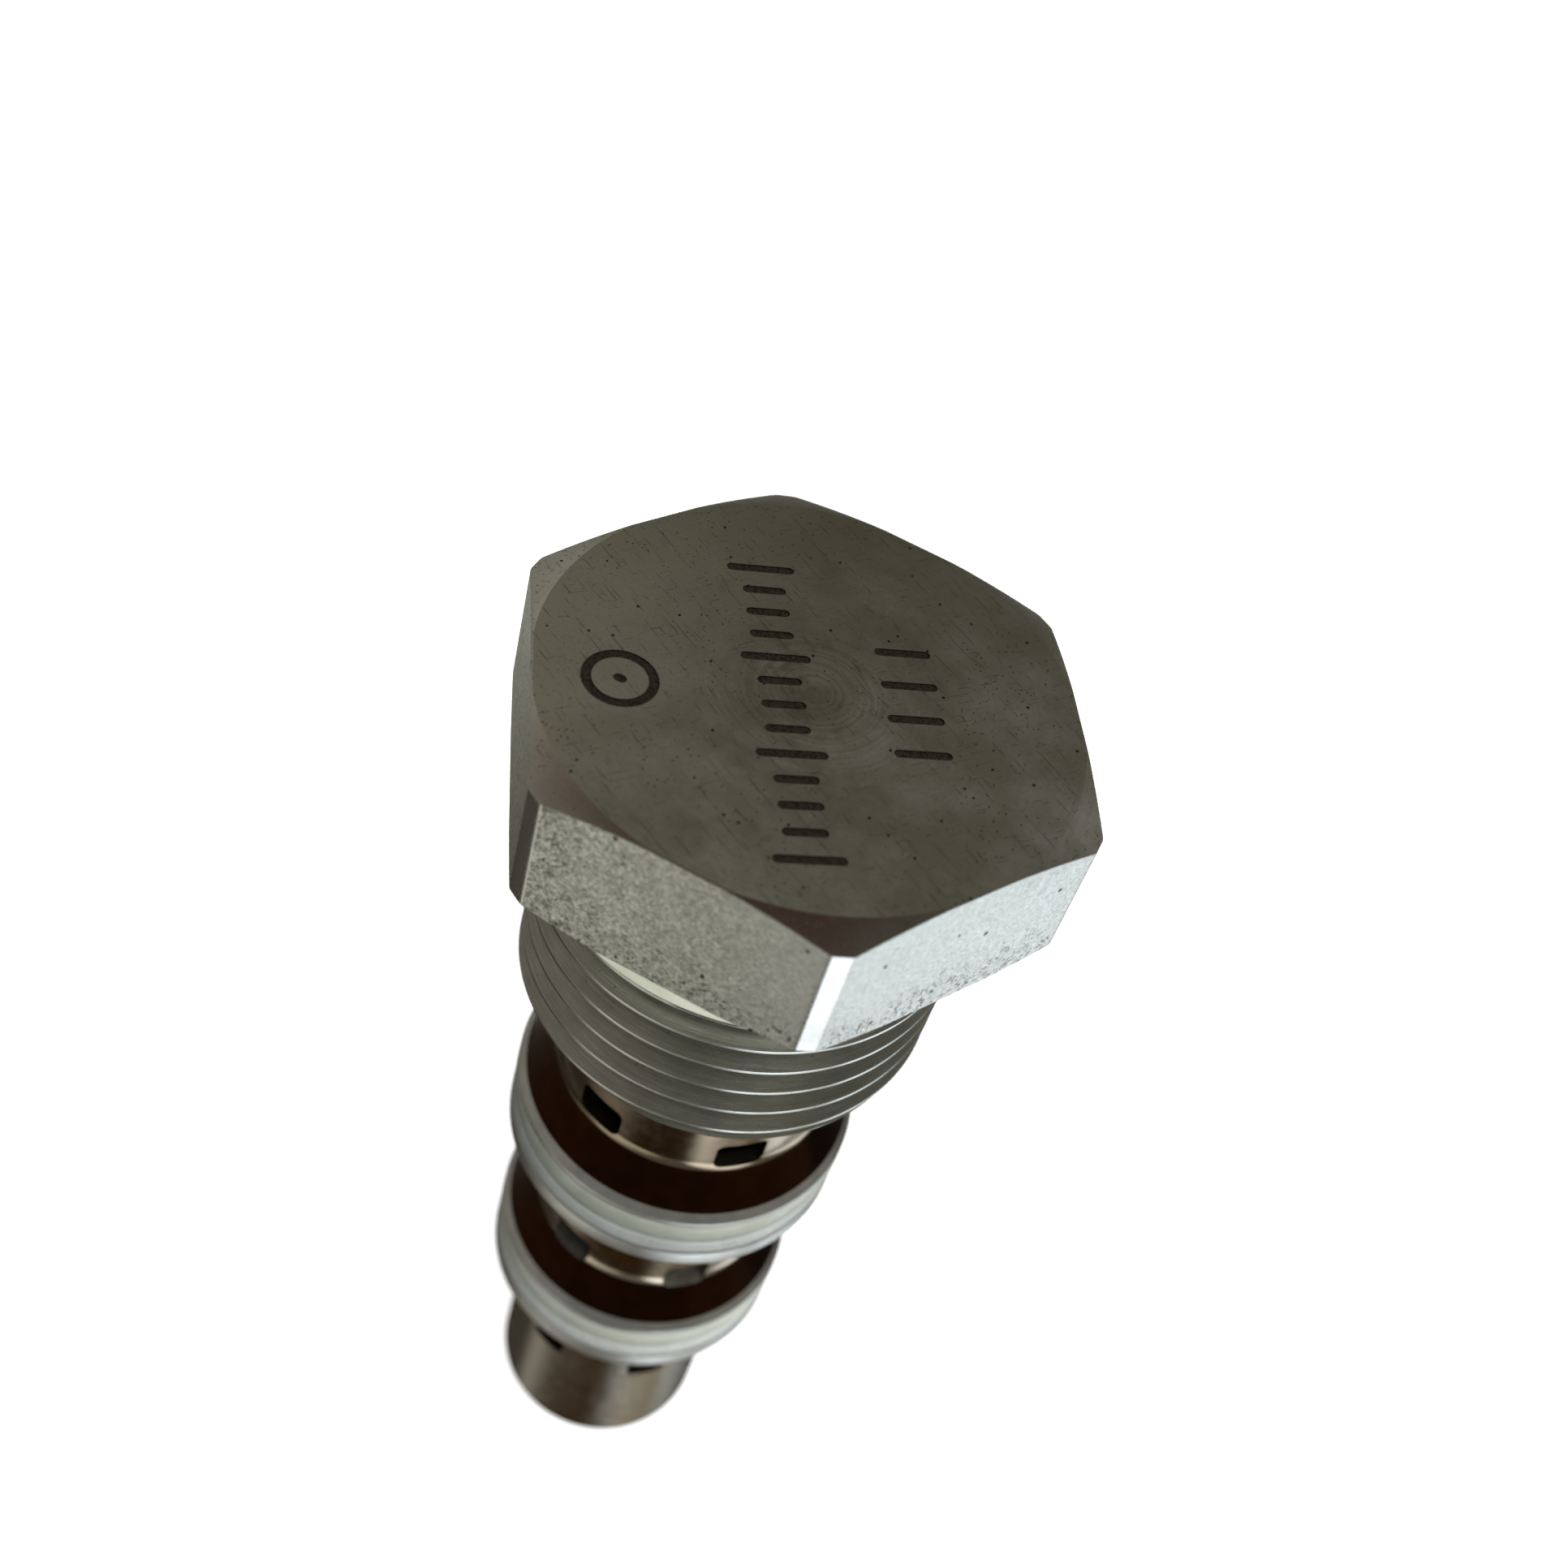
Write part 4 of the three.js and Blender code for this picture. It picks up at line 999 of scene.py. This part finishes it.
def make_spool():
    outer, low, high = reach("spool")
    edge = 0.25
    corners = [(0.0, low, 0), (outer - edge, low, 0.05), (outer, low + edge, 0.05)]
    half = BALANCE_GROOVE / 2
    cuts = [(z + half, z - half, outer - BALANCE_GROOVE) for z in BALANCE_GROOVE_HEIGHTS]
    cuts += [(top, end, SPOOL_GROOVE_R) for top, end in SPOOL_GROOVES]
    for top, end, radius in sorted(cuts, key=lambda cut: cut[1]):
        root = 0.03 if radius > SPOOL_GROOVE_R else 0.4
        corners += groove(outer, radius, end, top, 0.02, root)
    corners += [(outer, high - edge, 0.05), (outer - edge, high, 0.05), (0.0, high, 0)]
    spool = turned("spool", corners, HONED, segments=SMALL_SEGMENTS)
    upper = drum(DRILLING_R, high - DRILLING_DEPTH, high + CUT_PAST)
    lower = drum(DRILLING_R, low - CUT_PAST, low + DRILLING_DEPTH)
    combine(spool, [upper, lower], HONED)
    cross = []
    for height in (SPOOL_GROOVES[0][0] - CROSS_HOLE_INSET, SPOOL_GROOVES[1][1] + CROSS_HOLE_INSET):
        points, faces = drum(CROSS_HOLE_R, -outer - CUT_PAST, outer + CUT_PAST, sides=24)
        cross.append((points[:, [2, 0, 1]] + np.array([0, 0, height]), faces))
    combine(spool, cross, HONED)
    finish_piece(spool, "spool", "spool")


def make_orifice(node, upper):
    """A drilled brass plug with a screwdriver slot, on the face away from the spool's middle."""
    outer, low, high = reach(node)
    bore_r, half_width, depth, cutter_height = 0.45, 0.35, 0.6, 2.0
    corners = [(bore_r, low, 0.1), (outer, low, 0.08), (outer, high, 0.08), (bore_r, high, 0.1)]
    orifice = turned(node, corners, BRASS, segments=96)
    x, y = outer + CUT_PAST, half_width
    start = high - depth if upper else low + depth - cutter_height
    slot = prism([(-x, -y), (x, -y), (x, y), (-x, y)], start, start + cutter_height)
    combine(orifice, [slot], BRASS)
    finish_piece(orifice, node, "spool")


def make_guide(node, upper):
    """Washer with a spigot that faces its spring, away from the spool's middle."""
    outer, low, high = reach(node)
    thickness, spigot_r, hole_r = 1.5, 3.45, 1.4
    back, front = (low, high) if upper else (high, low)
    step = back + math.copysign(thickness, front - back)
    corners = [
        (hole_r, back, 0.1),
        (outer, back, 0.15),
        (outer, step, 0.15),
        (spigot_r, step, 0.1),
        (spigot_r - 0.2, front, 0.15),
        (hole_r, front, 0.15),
    ]
    guide = turned(node, corners, RING, segments=SMALL_SEGMENTS)
    finish_piece(guide, node, "spool")


def make_spring(node):
    """A round-wire spring with one closed turn at each end, stretched between its two seats."""
    outer, low, high = reach(node)
    coil_r, length = outer - SPRING_WIRE_R, high - low
    closed, per_turn, sides = 2 * SPRING_WIRE_R + COIL_GAP, 60, 16
    share = np.linspace(0, 1, SPRING_TURNS * per_turn + 1)
    turns = share * SPRING_TURNS
    rise = (length - 2 * SPRING_WIRE_R - 2 * closed) / (SPRING_TURNS - 2)
    height = np.interp(turns, [0, 1, SPRING_TURNS - 1, SPRING_TURNS],
                       [0, closed, closed + rise * (SPRING_TURNS - 2), length - 2 * SPRING_WIRE_R])
    angle = TURN * turns[:, None]
    section = TURN * np.arange(sides)[None, :] / sides
    r = coil_r + SPRING_WIRE_R * np.cos(section)
    z = low + SPRING_WIRE_R + height[:, None] + SPRING_WIRE_R * np.sin(section)
    points = np.stack([r * np.cos(angle), r * np.sin(angle), z], axis=2).reshape(-1, 3)
    faces = wrap_faces(len(turns), sides, False, True)
    faces += [tuple(range(sides)), tuple(range(len(points) - sides, len(points)))]
    spring = finish_piece(mesh_piece(node, points, faces, WIRE), node, None)
    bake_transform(spring)


def make_shim(node):
    shim = flat_ring(node, SHIM_HOLE_R, 0.05, RING, segments=SMALL_SEGMENTS)
    finish_piece(shim, node, "body")


def make_nose_plug():
    """A plug with a blind hole from below, a groove for its O-ring and a boss inside the spring."""
    outer, low, high = reach("nose_plug")
    hole_r, hole_depth, boss_r, boss_taper, boss_height = 1.6, 1.8, 3.1, 0.2, 1.6
    ring_low, ring_high = heights("nose_plug_o_ring")
    gland_r = outer_r("nose_plug_o_ring") - (ring_high - ring_low) - TOUCH
    corners = [
        (0.0, low + hole_depth, 0),
        (hole_r, low + hole_depth, 0.1),
        (hole_r, low, 0.1),
        (outer, low, 0.12),
        *ring_groove("nose_plug_o_ring", outer, gland_r, 0.05, 0.1),
        (outer, high - boss_height, 0.1),
        (boss_r, high - boss_height, 0.1),
        (boss_r - boss_taper, high, 0.15),
        (0.0, high, 0),
    ]
    plug = turned("nose_plug", corners, PLATED, segments=SMALL_SEGMENTS)
    finish_piece(plug, "nose_plug", "body")


make_plug()
make_cage()
make_o_ring("face_seal", FACE_SEAL_PAINTED_LIGHT, squeeze=FACE_SQUEEZE)
make_o_ring("cage_o_ring", RUBBER)
make_o_ring("nose_plug_o_ring", RUBBER)
# the upper land takes the darker seal and backup copies: painted shade under the hex
for land, pale, plastic in (("upper_land", UPPER_SEAL_PAINTED_SHADE, UPPER_BACKUP_PAINTED_SHADE), ("lower_land", PALE, BACKUP)):
    make_o_ring(f"{land}_o_ring", pale, squeeze=LAND_SQUEEZE)
    gland_floor = outer_r(f"{land}_backup_ring") + BACKUP_SINK - GLAND_DEPTH + TOUCH
    node = f"{land}_backup_ring"
    make_split_ring(node, gland_floor, BACKUP_GAP, BACKUP_SPLIT, 0.12, plastic)
collar_floor = COLLAR_GLAND_R + TOUCH
make_split_ring("cage_backup_ring", collar_floor, BACKUP_GAP, 0.0, 0.1, BACKUP)
make_split_ring("cage_snap_ring", SNAP_RING_INNER_R, SNAP_RING_GAP, 0.0, 0.1, RING)
make_nose_snap_ring()
make_spool()
for end in ("upper", "lower"):
    make_orifice(f"{end}_orifice", end == "upper")
    make_guide(f"{end}_spring_guide", end == "upper")
    make_spring(f"{end}_spring")
    make_shim(f"{end}_spring_shim")
make_nose_plug()

# -------- floor, light and camera


def aim(azimuth, elevation):
    """Unit vector towards an azimuth from +X and an elevation, both in degrees."""
    a, e = math.radians(azimuth), math.radians(elevation)
    return Vector((math.cos(a) * math.cos(e), math.sin(a) * math.cos(e), math.sin(e)))


# What polished metal mirrors: (azimuth, elevation, inner and outer half-angle, colour), later ones on top.
STUDIO = (
    (102, -28, 16, 30, (0.5, 0.5, 0.46)),
    (102, 8, 14, 26, (0.09, 0.085, 0.068)),
    (125, 45, 10, 30, (0.32, 0.3, 0.245)),
    (103, 36, 8, 22, (0.066, 0.058, 0.036)),
    (80, 42, 6, 20, (0.185, 0.19, 0.175)),
    (100, 54, 6, 18, (0.18, 0.17, 0.135)),
    (20, 50, 14, 26, (0.105, 0.105, 0.09)),
    (157, 62, 8, 18, (0.13, 0.092, 0.07)),
    (100, 87, 17, 30, (0.04, 0.014, 0.007)),
    (138, -45, 14, 26, (0.5, 0.5, 0.44)),
    (-168, -46, 15, 26, (0.055, 0.05, 0.04)),
    (145, -68, 20, 30, (0.045, 0.038, 0.028)),
    (-78, 66, 6, 15, (0.12, 0.12, 0.1)),
    (-108, -44, 13, 24, (0.92, 0.93, 0.83)),
    (-34, -44, 12, 20, (2.2, 2.42, 2.5)),
    (28, -49, 10, 20, (1.62, 1.79, 1.85)),
    (75, -62, 16, 28, (0.06, 0.052, 0.04)),
    (-136, -64, 6, 16, (0.26, 0.24, 0.2)),
    (30, -74, 10, 20, (0.1, 0.09, 0.07)),
    (42, -20, 16, 25, (0.06, 0.05, 0.035)),
    (-20, -68, 8, 22, (0.2, 0.165, 0.11)),
    (-88, -70, 15, 25, (0.034, 0.018, 0.0065)),
    (-75, 8, 30, 60, (0.16, 0.155, 0.14)),
)
STUDIO_BASE = (0.21, 0.20, 0.17)
SOFT_LIGHT_FROM = (-20, -8)  # azimuth and elevation of the brighter side
SOFT_LIGHT_DIM = (0.05, 0.05, 0.045)
SOFT_LIGHT_BRIGHT = (0.62, 0.64, 0.62)
BACKDROP = (0.93, 0.93, 0.93)
FLOOR_GLOW = 0.85
LIGHT_SIZE = 560.0
FOCUS_STOP = 26  # sharp on the hex and softer towards the nose


def make_world():
    """Camera rays see a plain backdrop, glossy rays the panels, and all others a soft gradient."""
    world = bpy.data.worlds.new("studio")
    world.use_nodes = True
    bpy.context.scene.world = world
    t = Tree(world.node_tree)
    direction = t.node("TexCoord").outputs["Generated"]
    colour = STUDIO_BASE
    for azimuth, elevation, inner, outer, light in STUDIO:
        limits = math.cos(math.radians(outer)), math.cos(math.radians(inner))
        share = t.span(t.towards(direction, aim(azimuth, elevation)), *limits, smooth=True)
        colour = t.mix(share, colour, light)
    brightness = t.span(t.towards(direction, aim(*SOFT_LIGHT_FROM)), -0.5, 1.0, smooth=True)
    soft = t.mix(brightness, SOFT_LIGHT_DIM, SOFT_LIGHT_BRIGHT)
    path = t.node("LightPath")
    colour = t.mix(path.outputs["Is Glossy Ray"], soft, colour)
    colour = t.mix(path.outputs["Is Camera Ray"], colour, BACKDROP)
    background = t.node("Background", colour)
    t.node("OutputWorld", background.outputs[0])


def make_floor():
    """A wide pale disc under the nose. Metal mirrors the studio panels instead of it."""
    sides, radius = 96, 3.0  # metres
    mesh = bpy.data.meshes.new("floor")
    points = [(x, y, cad_box[0].z) for x, y in circle(radius, sides)]
    mesh.from_pydata(points, [], [tuple(range(sides))])
    floor = placed("floor", mesh)
    f = Finish("floor_paper", (0.90, 0.90, 0.90))
    f.coat(f.clouds(0.02, 2.0, 0.5), BACKDROP)
    glow = {"Emission_Color": f.colour, "Emission_Strength": FLOOR_GLOW}
    mesh.materials.append(f.close(0.9, 0.0, **glow))
    floor.visible_glossy = False
    floor.visible_diffuse = False


def make_light(name, azimuth, elevation, distance, power):
    """A soft square panel, in watts, aimed at the middle of the valve."""
    middle = (cad_box[0] + cad_box[1]) / 2 / MM
    light = bpy.data.lights.new(name, "AREA")
    light.size = LIGHT_SIZE * MM
    light.energy = power
    panel = placed(name, light)
    panel.location = (middle + aim(azimuth, elevation) * distance) * MM
    panel.rotation_mode = "QUATERNION"
    panel.rotation_quaternion = (-aim(azimuth, elevation)).to_track_quat("-Z", "Y")
    panel.visible_glossy = False


def make_camera():
    """Close above the hex and a little to its right, tipped so that the nose runs down to the left."""
    azimuth, elevation, distance, roll, target_height = -78.02, 45.65, 115.4, -18.375, 1.9
    target = Vector(in_frame(target_height))
    outward = aim(azimuth, elevation)
    level = outward.to_track_quat("Z", "Y").to_matrix().to_4x4()
    tipped = level @ Matrix.Rotation(-math.radians(roll), 4, "Z")
    focus = placed("focus", None)
    focus.location = in_frame(HEX_TOP_Z / 2)
    lens = bpy.data.cameras.new("camera")
    lens.sensor_width = 36.0
    lens.lens = 45.05
    lens.dof.use_dof = True
    lens.dof.focus_object = focus
    lens.dof.aperture_fstop = FOCUS_STOP
    lens.clip_start = 0.005
    lens.clip_end = 20.0
    camera = placed("camera", lens)
    camera.matrix_world = Matrix.Translation(target + outward * distance * MM) @ tipped
    bpy.context.scene.camera = camera


make_world()
make_floor()
make_light("key", azimuth=0, elevation=66, distance=560, power=3.6)
make_light("fill", azimuth=170, elevation=74, distance=600, power=1.2)
make_camera()
bpy.context.scene.view_settings.view_transform = "Standard"
